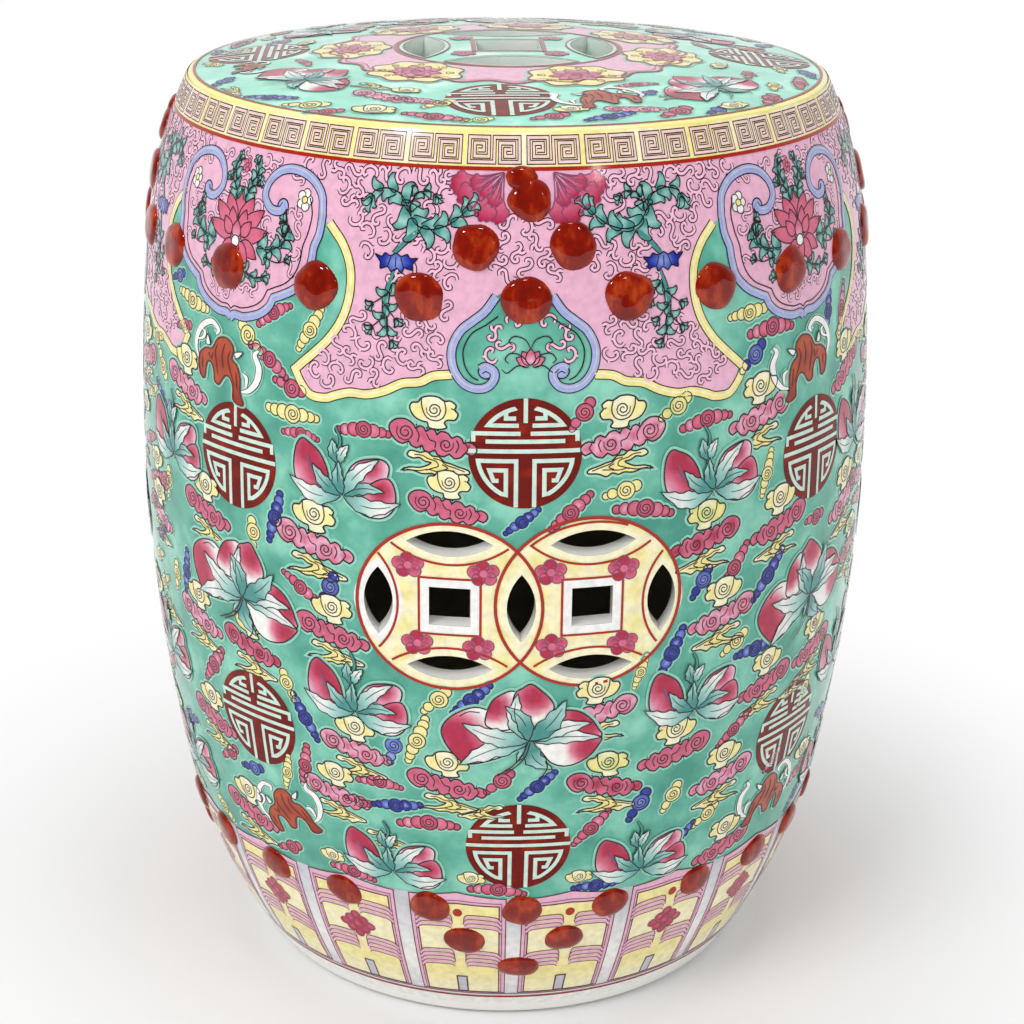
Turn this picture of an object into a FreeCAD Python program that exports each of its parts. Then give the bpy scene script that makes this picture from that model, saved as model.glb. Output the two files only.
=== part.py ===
import FreeCAD, Part
import Sketcher
import math
import os

# Ceramic garden stool: a hollow barrel with a domed seat laid on its rim, pierced
# by the old coin pattern, and rows of small bosses stuck on near its two ends.
# Millimetres, +Z up, origin at the centre of the foot, the front panel faces -Y.

# The outline, as insets from the belly and rises from one station to the next.
BELLY_RADIUS = 185.4
FOOT_INSET = 53.7
FLANK_INSET = 14.4
SHOULDER_INSET = 7.6
RIM_INSET = 30.0
FLANK_RISE = 101.4
BELLY_RISE = 160.6
SHOULDER_RISE = 126.0
RIM_RISE = 72.0
WALL_THICKNESS = 10.0
FOOT_ROUND = 8.0

# The seat.
SEAT_THICKNESS = 10.0
SEAT_DOME = 10.0
SEAT_BEARING = 10.5
RIM_ROUND = 2.0
SEAT_SQUARE = 31.0
SEAT_LENS_LENGTH = 60.0
SEAT_LENS_WIDTH = 21.0
SEAT_LENS_REACH = 41.0

# The pierced pair of coins.
COIN_DROP = 11.0
COIN_PITCH = 64.0
COIN_SQUARE = 18.5
COIN_LENS_LENGTH = 38.5
COIN_LENS_WIDTH = 12.0
COIN_LENS_REACH = 30.5
SIDE_LENS_LENGTH = 33.0
SIDE_LENS_WIDTH = 13.0

# The bosses.
BOSS_RADIUS = 11.0
BOSS_TOP_RADIUS = 7.8
BOSS_GIRTH_HEIGHT = 1.5
BOSS_PROUD = 4.4
BOSS_ROOT = 3.0
UPPER_ROW_RISE = 3.5
UPPER_PAIR_RISE = 22.0
UPPER_PEAK_RISE = 20.5
LOWER_ROW_DROP = 18.4
LOWER_PAIR_DROP = 21.0
LOWER_PEAK_DROP = 19.5
UPPER_PAIR_ANGLE = 6.9
LOWER_PAIR_ANGLE = 8.7

doc = FreeCAD.newDocument("garden_stool")
sheet = doc.addObject("Spreadsheet::Sheet", "Sizes")


def set_sizes(rows):
    for number, (name, value, note) in enumerate(rows, start=1):
        sheet.set("A%d" % number, note)
        sheet.set("B%d" % number, str(value))
        sheet.setAlias("B%d" % number, name)
    doc.recompute()


set_sizes((
    ("belly_radius", BELLY_RADIUS, "widest radius of the barrel"),
    ("foot_inset", FOOT_INSET, "how much narrower the foot is than the belly"),
    ("flank_inset", FLANK_INSET, "how much narrower the lower flank is than the belly"),
    ("shoulder_inset", SHOULDER_INSET, "how much narrower the shoulder is than the belly"),
    ("rim_inset", RIM_INSET, "how much narrower the rim is than the belly"),
    ("flank_rise", FLANK_RISE, "from the floor to the lower flank"),
    ("belly_rise", BELLY_RISE, "from the lower flank to the belly"),
    ("shoulder_rise", SHOULDER_RISE, "from the belly to the shoulder"),
    ("rim_rise", RIM_RISE, "from the shoulder to the rim"),
    ("wall_thickness", WALL_THICKNESS, "thickness of the barrel wall"),
    ("foot_round", FOOT_ROUND, "rounding of the foot's outer edge"),
    ("seat_thickness", SEAT_THICKNESS, "thickness of the seat"),
    ("seat_dome", SEAT_DOME, "how far the seat's middle stands above its rim"),
    ("seat_bearing", SEAT_BEARING, "width of the ring by which the seat lies on the wall"),
    ("rim_round", RIM_ROUND, "rounding of the seat's edge"),
    ("seat_square", SEAT_SQUARE, "side of the square hole in the seat"),
    ("seat_lens_length", SEAT_LENS_LENGTH, "length of a finger hole in the seat"),
    ("seat_lens_width", SEAT_LENS_WIDTH, "width of a finger hole in the seat"),
    ("seat_lens_reach", SEAT_LENS_REACH, "from the seat's middle to the middle of a finger hole"),
    ("coin_drop", COIN_DROP, "how far the coins' middles lie below the belly"),
    ("coin_pitch", COIN_PITCH, "distance between the coins' middles"),
    ("coin_square", COIN_SQUARE, "side of a coin's square hole"),
    ("coin_lens_length", COIN_LENS_LENGTH, "length of the upper and lower lens holes"),
    ("coin_lens_width", COIN_LENS_WIDTH, "width of the upper and lower lens holes"),
    ("coin_lens_reach", COIN_LENS_REACH, "from a coin's middle up or down to a lens hole"),
    ("side_lens_length", SIDE_LENS_LENGTH, "length of the upright lens holes"),
    ("side_lens_width", SIDE_LENS_WIDTH, "width of the upright lens holes"),
    ("boss_radius", BOSS_RADIUS, "radius of a boss"),
    ("boss_top_radius", BOSS_TOP_RADIUS, "radius of a boss's flattened top"),
    ("boss_girth_height", BOSS_GIRTH_HEIGHT, "height of a boss's widest ring above the wall"),
    ("boss_proud", BOSS_PROUD, "how far a boss stands out of the wall"),
    ("boss_root", BOSS_ROOT, "how deep a boss's block reaches before it is fitted"),
    ("upper_row_rise", UPPER_ROW_RISE, "from the shoulder up to the upper row of bosses"),
    ("upper_pair_rise", UPPER_PAIR_RISE, "from that row up to the pair"),
    ("upper_peak_rise", UPPER_PEAK_RISE, "from the pair up to the single boss"),
    ("lower_row_drop", LOWER_ROW_DROP, "from the lower flank down to the lower row of bosses"),
    ("lower_pair_drop", LOWER_PAIR_DROP, "from that row down to the pair"),
    ("lower_peak_drop", LOWER_PEAK_DROP, "from the pair down to the single boss"),
    ("upper_pair_angle", UPPER_PAIR_ANGLE, "angle of the upper pair from its side's middle"),
    ("lower_pair_angle", LOWER_PAIR_ANGLE, "angle of the lower pair from its side's middle"),
))

ROW_COUNT = 24
SIDE_COUNT = 4
BOSS_SIDES = 10
SIDE_NAMES = ("front", "right", "back", "left")

# The bosses are set by hand: degrees by which each strays from its even place in
# the row, counted from the front towards the right.
UPPER_STRAY = (0.2, -0.1, -1.4, -1.4, -0.9, 0.4, 0.0, 0.6, -0.8, -1.2, 0.5, 0.3,
               -0.4, 0.2, 0.9, -0.6, 0.3, 1.0, 0.0, -1.1, -2.6, -2.2, -0.4, 0.3)
LOWER_STRAY = (1.1, 1.2, 3.0, 2.6, 1.6, 0.8, 0.0, -0.5, 0.9, 0.3, -0.7, 0.4,
               0.2, -0.6, 0.5, 1.0, -0.4, 0.1, 0.0, 0.4, -0.3, 0.1, 0.2, 0.7)


def size(name):
    return float(sheet.get(name))


def bind(item, path, formula):
    item.setExpression(path, formula)


FLANK_HEIGHT = "Sizes.flank_rise"
BELLY_HEIGHT = FLANK_HEIGHT + " + Sizes.belly_rise"
SHOULDER_HEIGHT = BELLY_HEIGHT + " + Sizes.shoulder_rise"
RIM_HEIGHT = SHOULDER_HEIGHT + " + Sizes.rim_rise"
JOINT_HEIGHT = RIM_HEIGHT + " - Sizes.seat_thickness"
COIN_HEIGHT = BELLY_HEIGHT + " - Sizes.coin_drop"


def heights():
    foot = 0.0
    flank = size("flank_rise")
    belly = flank + size("belly_rise")
    shoulder = belly + size("shoulder_rise")
    rim = shoulder + size("rim_rise")
    return foot, flank, belly, shoulder, rim


def stations():
    """Radius and height of the five points that the outline runs through."""
    belly = size("belly_radius")
    radii = (belly - size("foot_inset"), belly - size("flank_inset"), belly,
             belly - size("shoulder_inset"), belly - size("rim_inset"))
    return list(zip(radii, heights()))


def circle_from_belly(belly, other):
    """Centre and radius of the arc that is upright at the belly and meets other."""
    inset = belly[0] - other[0]
    rise = belly[1] - other[1]
    radius = (inset ** 2 + rise ** 2) / (2.0 * inset)
    return belly[0] - radius, belly[1], radius


def circle_onward(circle, start, end):
    """Centre and radius of the arc that leaves another arc smoothly at start."""
    toward = (circle[0] - start[0], circle[1] - start[1])
    reach = math.hypot(*toward)
    toward = (toward[0] / reach, toward[1] / reach)
    chord = (end[0] - start[0], end[1] - start[1])
    along = chord[0] * toward[0] + chord[1] * toward[1]
    radius = (chord[0] ** 2 + chord[1] ** 2) / (2.0 * along)
    return start[0] + toward[0] * radius, start[1] + toward[1] * radius, radius


def outline_circles():
    foot, flank, belly, shoulder, rim = stations()
    lower = circle_from_belly(belly, flank)
    upper = circle_from_belly(belly, shoulder)
    return (circle_onward(lower, flank, foot), lower, upper,
            circle_onward(upper, shoulder, rim))


def radius_on(circle, height, inward=0.0):
    reach = circle[2] - inward
    return circle[0] + math.sqrt(reach ** 2 - (height - circle[1]) ** 2)


def inner_tangent(circle, other, radius):
    """Middle of the small arc that lies inside both circles and touches them."""
    first = circle[2] - radius
    second = other[2] - radius
    gap = (other[0] - circle[0], other[1] - circle[1])
    span = math.hypot(*gap)
    along = (first ** 2 - second ** 2 + span ** 2) / (2.0 * span)
    side = math.sqrt(first ** 2 - along ** 2)
    unit = (gap[0] / span, gap[1] / span)
    picks = [(circle[0] + unit[0] * along - k * unit[1] * side,
              circle[1] + unit[1] * along + k * unit[0] * side) for k in (-1.0, 1.0)]
    return max(picks)


def touch(circle, middle):
    """Where an arc with this middle, inside the circle, touches it."""
    away = (middle[0] - circle[0], middle[1] - circle[1])
    reach = math.hypot(*away)
    return (circle[0] + away[0] / reach * circle[2],
            circle[1] + away[1] / reach * circle[2])


def wall_circle(height):
    levels = heights()
    place = sum(height > level for level in levels[1:4])
    return outline_circles()[place]


def body(name):
    made = doc.addObject("PartDesign::Body", name)
    made.Label = name
    return made


def sketch_on(owner, name, plane):
    made = owner.newObject("Sketcher::SketchObject", name)
    origin = [f for f in owner.Origin.OriginFeatures if f.Role == plane]
    made.AttachmentSupport = [(origin[0], "")]
    made.MapMode = "FlatFace"
    return made


def vec(x, y):
    return FreeCAD.Vector(x, y, 0.0)


def add_arc(sketch, circle, low, high, construction=False):
    start = math.atan2(low[1] - circle[1], low[0] - circle[0])
    end = math.atan2(high[1] - circle[1], high[0] - circle[0])
    ring = Part.Circle(vec(circle[0], circle[1]), FreeCAD.Vector(0, 0, 1), circle[2])
    return sketch.addGeometry(Part.ArcOfCircle(ring, start, end), construction)


def add_rounding(sketch, middle, radius, low, high, alias):
    item = add_arc(sketch, middle + (radius,), low, high)
    index = sketch.addConstraint(Sketcher.Constraint("Radius", item, radius))
    sketch.renameConstraint(index, alias)
    bind(sketch, "Constraints." + alias, "Sizes." + alias)
    return item


def add_line(sketch, start, end):
    return sketch.addGeometry(Part.LineSegment(vec(*start), vec(*end)), False)


def join(sketch, first, first_end, second, second_end, kind="Coincident"):
    sketch.addConstraint(Sketcher.Constraint(kind, first, first_end, second, second_end))


def fix(sketch, kind, item, end, value, formula, name):
    """A distance from the sketch's origin to a point, bound to the sheet."""
    index = sketch.addConstraint(Sketcher.Constraint(kind, -1, 1, item, end, value))
    sketch.renameConstraint(index, name)
    bind(sketch, "Constraints." + name, formula)


def fix_point(sketch, item, end, point, formulas, name):
    fix(sketch, "DistanceX", item, end, point[0], formulas[0], name + "_out")
    fix(sketch, "DistanceY", item, end, point[1], formulas[1], name + "_up")


def on_floor(sketch, item, end):
    sketch.addConstraint(Sketcher.Constraint("PointOnObject", item, end, -1))


def on_axis(sketch, item, end):
    sketch.addConstraint(Sketcher.Constraint("PointOnObject", item, end, -2))


def radius_formula(inset):
    return "Sizes.belly_radius - Sizes." + inset


def draw_wall_section(sketch):
    """Closed section of the wall: four tangent arcs outside, their parallels inside."""
    foot, flank, belly, shoulder, rim = stations()
    circles = outline_circles()
    joint_height = rim[1] - size("seat_thickness")
    joint = (radius_on(circles[3], joint_height), joint_height)
    rounding = size("foot_round")
    low = circles[0]
    across = math.sqrt((low[2] - rounding) ** 2 - (rounding - low[1]) ** 2)
    heel = (low[0] + across, rounding)
    points = (touch(low, heel), flank, belly, shoulder, joint)
    outer = [add_arc(sketch, circles[i], points[i], points[i + 1]) for i in range(4)]
    sole = (heel[0], 0.0)
    heel_arc = add_rounding(sketch, heel, rounding, sole, points[0], "foot_round")
    wall = size("wall_thickness")
    inside = []
    for (x, y), circle in zip(points, (circles[0],) + circles):
        inside.append((x - wall * (x - circle[0]) / circle[2],
                       y - wall * (y - circle[1]) / circle[2]))
    inner_circles = [(c[0], c[1], c[2] - wall) for c in circles]
    inside[0] = (radius_on(inner_circles[0], 0.0), 0.0)
    inside[4] = (radius_on(inner_circles[3], joint_height), joint_height)
    inner = [add_arc(sketch, inner_circles[i], inside[i], inside[i + 1]) for i in range(4)]
    floor_line = add_line(sketch, inside[0], sole)
    joint_line = add_line(sketch, joint, inside[4])
    rim_mark = sketch.addGeometry(Part.Point(vec(*rim)), True)
    foot_mark = sketch.addGeometry(Part.Point(vec(*foot)), True)
    for i in range(3):
        join(sketch, outer[i], 2, outer[i + 1], 1, "Tangent")
    fix(sketch, "DistanceX", foot_mark, 1, foot[0], radius_formula("foot_inset"), "foot_out")
    on_floor(sketch, foot_mark, 1)
    sketch.addConstraint(Sketcher.Constraint("PointOnObject", foot_mark, 1, outer[0]))
    fix_point(sketch, outer[1], 1, flank, (radius_formula("flank_inset"), FLANK_HEIGHT), "flank")
    fix_point(sketch, outer[2], 1, belly, ("Sizes.belly_radius", BELLY_HEIGHT), "belly")
    fix_point(sketch, outer[3], 1, shoulder,
              (radius_formula("shoulder_inset"), SHOULDER_HEIGHT), "shoulder")
    fix_point(sketch, rim_mark, 1, rim, (radius_formula("rim_inset"), RIM_HEIGHT), "rim")
    fix(sketch, "DistanceY", outer[1], 3, belly[1], BELLY_HEIGHT, "belly_upright")
    fix(sketch, "DistanceY", outer[3], 2, joint_height, JOINT_HEIGHT, "joint_outside")
    sketch.addConstraint(Sketcher.Constraint("PointOnObject", rim_mark, 1, outer[3]))
    for i in range(4):
        join(sketch, inner[i], 3, outer[i], 3)
    for i in range(3):
        join(sketch, inner[i], 2, inner[i + 1], 1, "Tangent")
    fix(sketch, "DistanceX", inner[2], 1, belly[0] - wall,
        "Sizes.belly_radius - Sizes.wall_thickness", "belly_inside")
    on_floor(sketch, inner[0], 1)
    fix(sketch, "DistanceY", inner[3], 2, joint_height, JOINT_HEIGHT, "joint_inside")
    join(sketch, heel_arc, 2, outer[0], 1, "Tangent")
    join(sketch, floor_line, 2, heel_arc, 1, "Tangent")
    join(sketch, floor_line, 1, inner[0], 1)
    sketch.addConstraint(Sketcher.Constraint("Horizontal", floor_line))
    join(sketch, joint_line, 1, outer[3], 2)
    join(sketch, joint_line, 2, inner[3], 2)


def draw_seat_section(sketch):
    """Closed section of the seat: its edge carries on the wall's outline."""
    foot, flank, belly, shoulder, rim = stations()
    circles = outline_circles()
    joint_height = rim[1] - size("seat_thickness")
    joint = (radius_on(circles[3], joint_height), joint_height)
    bearing = (joint[0] - size("seat_bearing"), joint_height)
    dome = size("seat_dome")
    crown = (0.0, rim[1] + dome)
    vault = (0.0, joint_height + dome)
    dome_radius = (rim[0] ** 2 + dome ** 2) / (2.0 * dome)
    vault_radius = (bearing[0] ** 2 + dome ** 2) / (2.0 * dome)
    top_circle = (0.0, crown[1] - dome_radius, dome_radius)
    rounding = size("rim_round")
    middle_of_round = inner_tangent(circles[3], top_circle, rounding)
    edge_end = touch(circles[3], middle_of_round)
    top_start = touch(top_circle, middle_of_round)
    guide = add_arc(sketch, circles[2], belly, shoulder, True)
    edge_guide = add_arc(sketch, circles[3], shoulder, rim, True)
    edge = add_arc(sketch, circles[3], joint, edge_end)
    soft_edge = add_rounding(sketch, middle_of_round, rounding, edge_end, top_start, "rim_round")
    top = add_arc(sketch, top_circle, top_start, crown)
    underside = add_arc(sketch, (0.0, vault[1] - vault_radius, vault_radius), bearing, vault)
    middle = add_line(sketch, crown, vault)
    bottom = add_line(sketch, joint, bearing)
    fix_point(sketch, guide, 1, belly, ("Sizes.belly_radius", BELLY_HEIGHT), "belly")
    fix(sketch, "DistanceY", guide, 3, belly[1], BELLY_HEIGHT, "belly_upright")
    fix_point(sketch, guide, 2, shoulder,
              (radius_formula("shoulder_inset"), SHOULDER_HEIGHT), "shoulder")
    join(sketch, guide, 2, edge_guide, 1, "Tangent")
    fix_point(sketch, edge_guide, 2, rim, (radius_formula("rim_inset"), RIM_HEIGHT), "rim")
    join(sketch, edge, 3, edge_guide, 3)
    join(sketch, edge, 2, soft_edge, 1, "Tangent")
    join(sketch, soft_edge, 2, top, 1, "Tangent")
    sketch.addConstraint(Sketcher.Constraint("PointOnObject", edge_guide, 2, top))
    sketch.addConstraint(Sketcher.Constraint("Equal", edge, edge_guide))
    fix(sketch, "DistanceY", edge, 1, joint_height, JOINT_HEIGHT, "joint")
    on_axis(sketch, top, 3)
    on_axis(sketch, top, 2)
    fix(sketch, "DistanceY", top, 2, crown[1], RIM_HEIGHT + " + Sizes.seat_dome", "crown")
    on_axis(sketch, underside, 3)
    on_axis(sketch, underside, 2)
    fix(sketch, "DistanceY", underside, 2, vault[1], JOINT_HEIGHT + " + Sizes.seat_dome", "vault")
    join(sketch, middle, 1, top, 2)
    join(sketch, middle, 2, underside, 2)
    join(sketch, bottom, 1, edge, 1)
    join(sketch, bottom, 2, underside, 1)
    sketch.addConstraint(Sketcher.Constraint("Horizontal", bottom))
    index = sketch.addConstraint(
        Sketcher.Constraint("DistanceX", bottom, 2, bottom, 1, size("seat_bearing")))
    sketch.renameConstraint(index, "bearing")
    bind(sketch, "Constraints.bearing", "Sizes.seat_bearing")


def revolve(owner, sketch, name):
    made = owner.newObject("PartDesign::Revolution", name)
    made.Profile = sketch
    made.ReferenceAxis = (sketch, ["V_Axis"])
    made.Angle = 360.0
    sketch.Visibility = False
    return made


def draw_lens(sketch, middle, sizes, formulas, name, upright=False):
    """A lens hole between two equal arcs; sizes and formulas give length and width."""
    half = sizes[0] / 2.0
    rise = sizes[1] / 2.0
    radius = (half ** 2 + rise ** 2) / (2.0 * rise)
    back = radius - rise
    along = (0.0, 1.0) if upright else (1.0, 0.0)
    across = (-along[1], along[0])

    def at(u, v):
        return (middle[0] + along[0] * u + across[0] * v,
                middle[1] + along[1] * u + across[1] * v)

    head, tail = at(half, 0.0), at(-half, 0.0)
    one = add_arc(sketch, at(0.0, -back) + (radius,), head, tail)
    two = add_arc(sketch, at(0.0, back) + (radius,), tail, head)
    join(sketch, one, 2, two, 1)
    join(sketch, two, 2, one, 1)
    half_formula = "(%s) / 2" % formulas[2]
    x_formula, y_formula = formulas[0], formulas[1]
    tips = ((one, head, " + "), (two, tail, " - "))
    for item, tip, sign in tips:
        label = name + ("_head" if item == one else "_tail")
        place = [x_formula, y_formula]
        place[1 if upright else 0] += sign + half_formula
        fix_signed(sketch, item, 1, tip, place, label)
    arc_formula = "((%s) ^ 2 + (%s) ^ 2) / (4 * (%s))" % (formulas[2], formulas[3], formulas[3])
    for item, label in ((one, "_first_radius"), (two, "_second_radius")):
        index = sketch.addConstraint(Sketcher.Constraint("Radius", item, radius))
        sketch.renameConstraint(index, name + label)
        bind(sketch, "Constraints." + name + label, arc_formula)


def fix_signed(sketch, item, end, point, formulas, name):
    """Like fix_point, and leaves out a distance that is nothing."""
    for kind, value, formula, tail, axis in (
            ("DistanceX", point[0], formulas[0], "_out", on_axis),
            ("DistanceY", point[1], formulas[1], "_up", on_floor)):
        if abs(value) < 1e-9:
            axis(sketch, item, end)
        else:
            fix(sketch, kind, item, end, value, formula, name + tail)


def draw_square(sketch, middle, side, formulas, name):
    """A square hole; formulas give its middle and its side."""
    half = side / 2.0
    corners = [(middle[0] + a * half, middle[1] + b * half)
               for a, b in ((-1, -1), (1, -1), (1, 1), (-1, 1))]
    lines = [add_line(sketch, corners[i], corners[(i + 1) % 4]) for i in range(4)]
    for i in range(4):
        join(sketch, lines[i], 2, lines[(i + 1) % 4], 1)
    for i, kind in enumerate(("Horizontal", "Vertical", "Horizontal", "Vertical")):
        sketch.addConstraint(Sketcher.Constraint(kind, lines[i]))
    half_formula = "(%s) / 2" % formulas[2]
    for item, corner, sign in ((0, corners[0], " - "), (2, corners[2], " + ")):
        place = [formulas[0] + sign + half_formula, formulas[1] + sign + half_formula]
        fix_signed(sketch, lines[item], 1, corner, place, "%s_corner%d" % (name, item))


def draw_coin_pair(sketch):
    """Two overlapping coins, which share the upright lens between their squares."""
    height = heights()[2] - size("coin_drop")
    half_pitch = size("coin_pitch") / 2.0
    reach = size("coin_lens_reach")
    lens = (size("coin_lens_length"), size("coin_lens_width"))
    lens_names = ("Sizes.coin_lens_length", "Sizes.coin_lens_width")
    upright = (size("side_lens_length"), size("side_lens_width"))
    upright_names = ("Sizes.side_lens_length", "Sizes.side_lens_width")
    for side, sign, word in ((-1.0, "-", "left"), (1.0, "", "right")):
        across = sign + "Sizes.coin_pitch / 2"
        x = side * half_pitch
        draw_square(sketch, (x, height), size("coin_square"),
                    (across, COIN_HEIGHT, "Sizes.coin_square"), word + "_square")
        draw_lens(sketch, (x, height + reach), lens,
                  (across, COIN_HEIGHT + " + Sizes.coin_lens_reach") + lens_names,
                  word + "_upper")
        draw_lens(sketch, (x, height - reach), lens,
                  (across, COIN_HEIGHT + " - Sizes.coin_lens_reach") + lens_names,
                  word + "_lower")
        draw_lens(sketch, (2.0 * x, height), upright,
                  (sign + "Sizes.coin_pitch", COIN_HEIGHT) + upright_names,
                  word + "_side", True)
    draw_lens(sketch, (0.0, height), upright, ("0", COIN_HEIGHT) + upright_names,
              "shared", True)


def draw_seat_coin(sketch):
    """One square hole with a lens-shaped finger hole on each of its four sides."""
    reach = size("seat_lens_reach")
    lens = (size("seat_lens_length"), size("seat_lens_width"))
    names = ("Sizes.seat_lens_length", "Sizes.seat_lens_width")
    draw_square(sketch, (0.0, 0.0), size("seat_square"), ("0", "0", "Sizes.seat_square"), "middle")
    for side, sign, word in ((-1.0, "-", "near"), (1.0, "", "far")):
        formula = sign + "Sizes.seat_lens_reach"
        draw_lens(sketch, (0.0, side * reach), lens, ("0", formula) + names, word)
        draw_lens(sketch, (side * reach, 0.0), lens, (formula, "0") + names, word + "_side", True)


def pierce(owner, sketch, name, symmetric, reverse):
    made = owner.newObject("PartDesign::Pocket", name)
    made.Profile = sketch
    made.Type = "ThroughAll"
    made.Midplane = symmetric
    made.Reversed = reverse
    sketch.Visibility = False
    return made


def make_wall():
    owner = body("barrel_wall")
    section = sketch_on(owner, "wall_section", "XZ_Plane")
    draw_wall_section(section)
    turned = revolve(owner, section, "turned_wall")
    coins = sketch_on(owner, "coin_pair", "XZ_Plane")
    draw_coin_pair(coins)
    cut = pierce(owner, coins, "pierced_coins", True, False)
    owner.Tip = cut
    doc.recompute()
    assert cut.Shape.Volume < turned.Shape.Volume
    return owner


def make_seat():
    owner = body("seat_slab")
    section = sketch_on(owner, "seat_section", "XZ_Plane")
    draw_seat_section(section)
    turned = revolve(owner, section, "turned_seat")
    coin = sketch_on(owner, "seat_coin", "XY_Plane")
    draw_seat_coin(coin)
    cut = pierce(owner, coin, "finger_holes", False, True)
    owner.Tip = cut
    doc.recompute()
    assert cut.Shape.Volume < turned.Shape.Volume
    return owner


def make_outer_form():
    """The barrel as one solid lump, against which the bosses are fitted."""
    foot, flank, belly, shoulder, rim = stations()
    circles = outline_circles()
    edges = []
    for circle, low, high in zip(circles, stations()[:4], stations()[1:]):
        middle_height = (low[1] + high[1]) / 2.0
        middle = (radius_on(circle, middle_height), middle_height)
        ends = [FreeCAD.Vector(x, 0.0, z) for x, z in (low, middle, high)]
        edges.append(Part.Arc(*ends).toShape())
    axis_low = FreeCAD.Vector(0.0, 0.0, 0.0)
    axis_high = FreeCAD.Vector(0.0, 0.0, rim[1])
    edges.append(Part.makeLine(FreeCAD.Vector(rim[0], 0.0, rim[1]), axis_high))
    edges.append(Part.makeLine(axis_high, axis_low))
    edges.append(Part.makeLine(axis_low, FreeCAD.Vector(foot[0], 0.0, 0.0)))
    face = Part.Face(Part.Wire(edges))
    made = doc.addObject("Part::Feature", "outer_form")
    made.Shape = face.revolve(axis_low, FreeCAD.Vector(0.0, 0.0, 1.0), 360.0)
    return made


def make_boss_block():
    """A ruled loft through three rings, like a lump of clay pinched by hand."""
    rings = (("boss_radius", "-Sizes.boss_root", "root"),
             ("boss_radius", "Sizes.boss_girth_height", "girth"),
             ("boss_top_radius", "Sizes.boss_proud", "top"))
    sections = []
    for alias, height_formula, word in rings:
        ring = doc.addObject("Part::RegularPolygon", "boss_" + word)
        ring.Polygon = BOSS_SIDES
        bind(ring, "Circumradius", "Sizes." + alias)
        bind(ring, "Placement.Base.z", height_formula)
        sections.append(ring)
    block = doc.addObject("Part::Loft", "boss_block")
    block.Sections = sections
    block.Solid = True
    block.Ruled = True
    doc.recompute()
    return block


def boss_placement(height):
    """On the front of the barrel at this height, standing square to its surface."""
    circle = wall_circle(height)
    outward = FreeCAD.Vector(0.0, -(radius_on(circle, height) - circle[0]), height - circle[1])
    turn = FreeCAD.Rotation(FreeCAD.Vector(0.0, 0.0, 1.0), outward)
    return FreeCAD.Placement(FreeCAD.Vector(0.0, -radius_on(circle, height), height), turn)


def boss_heights(end):
    """Heights of an end's row, of the pair beside it and of the single boss beyond."""
    foot, flank, belly, shoulder, rim = heights()
    if end == "upper":
        row = shoulder + size("upper_row_rise")
        pair = row + size("upper_pair_rise")
        return row, pair, pair + size("upper_peak_rise")
    row = flank - size("lower_row_drop")
    pair = row - size("lower_pair_drop")
    return row, pair, pair - size("lower_peak_drop")


def make_bosses(block, form, word, height, angles):
    """One node: the bosses of this kind on one side, each fitted to the wall."""
    placement = boss_placement(height)
    lump = block.Shape.copy()
    lump.Placement = placement
    fitted = lump.cut(form.Shape)
    solids = []
    for angle in angles:
        one = fitted.copy()
        one.rotate(FreeCAD.Vector(0, 0, 0), FreeCAD.Vector(0, 0, 1), angle)
        solids += one.Solids
    made = doc.addObject("Part::Feature", word)
    made.Label = word
    made.Shape = Part.makeCompound(solids) if len(solids) > 1 else solids[0]
    return made


def side_angles(side, stray):
    """The six places of a row that belong to one side, in degrees round the barrel."""
    per_side = ROW_COUNT // SIDE_COUNT
    step = 360.0 / ROW_COUNT
    first = side * per_side - per_side // 2 + 1
    return [place * step + stray[place % ROW_COUNT] for place in range(first, first + per_side)]


def make_all_bosses(block, form):
    made = []
    for side, word in enumerate(SIDE_NAMES):
        middle = side * 360.0 / SIDE_COUNT
        for end, stray in (("upper", UPPER_STRAY), ("lower", LOWER_STRAY)):
            pair = size(end + "_pair_angle")
            row_height, pair_height, peak_height = boss_heights(end)
            sets = (("row_bosses", row_height, side_angles(side, stray)),
                    ("pair_bosses", pair_height, [middle - pair, middle + pair]),
                    ("peak_boss", peak_height, [middle]))
            for noun, height, angles in sets:
                name = "%s_%s_%s" % (end, noun, word)
                made.append(make_bosses(block, form, name, height, angles))
    return made


nodes = [make_wall(), make_seat()]
nodes += make_all_bosses(make_boss_block(), make_outer_form())
doc.recompute()

for item in doc.Objects:
    faults = {"Invalid", "Error"} & set(item.State)
    if faults:
        raise RuntimeError("%s is %s" % (item.Name, sorted(faults)))
for node in nodes:
    if node.Shape.isNull() or not node.Shape.isValid() or not node.Shape.Solids:
        raise RuntimeError("%s has no sound solid" % node.Label)

os.makedirs("parts", exist_ok=True)
for node in nodes:
    node.Shape.exportStep("parts/%s.step" % node.Label)
    print(node.Label, len(node.Shape.Solids), "solids", round(node.Shape.Volume), "mm3")
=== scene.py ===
import math
import bpy
import numpy as np
from mathutils import Matrix, Vector, geometry, noise


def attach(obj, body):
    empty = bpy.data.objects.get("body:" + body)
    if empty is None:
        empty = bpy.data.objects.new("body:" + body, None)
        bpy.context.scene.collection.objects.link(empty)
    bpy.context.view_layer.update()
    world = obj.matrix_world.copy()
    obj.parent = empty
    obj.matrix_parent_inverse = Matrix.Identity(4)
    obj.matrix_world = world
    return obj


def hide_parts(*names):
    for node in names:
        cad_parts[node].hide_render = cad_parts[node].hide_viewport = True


# Looks of the glazed garden stool: barrel, seat and bosses are remodelled, and the
# painted enamel is laid on them as thin coloured shapes. Sizes are in mm, the studio's in metres.

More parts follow.
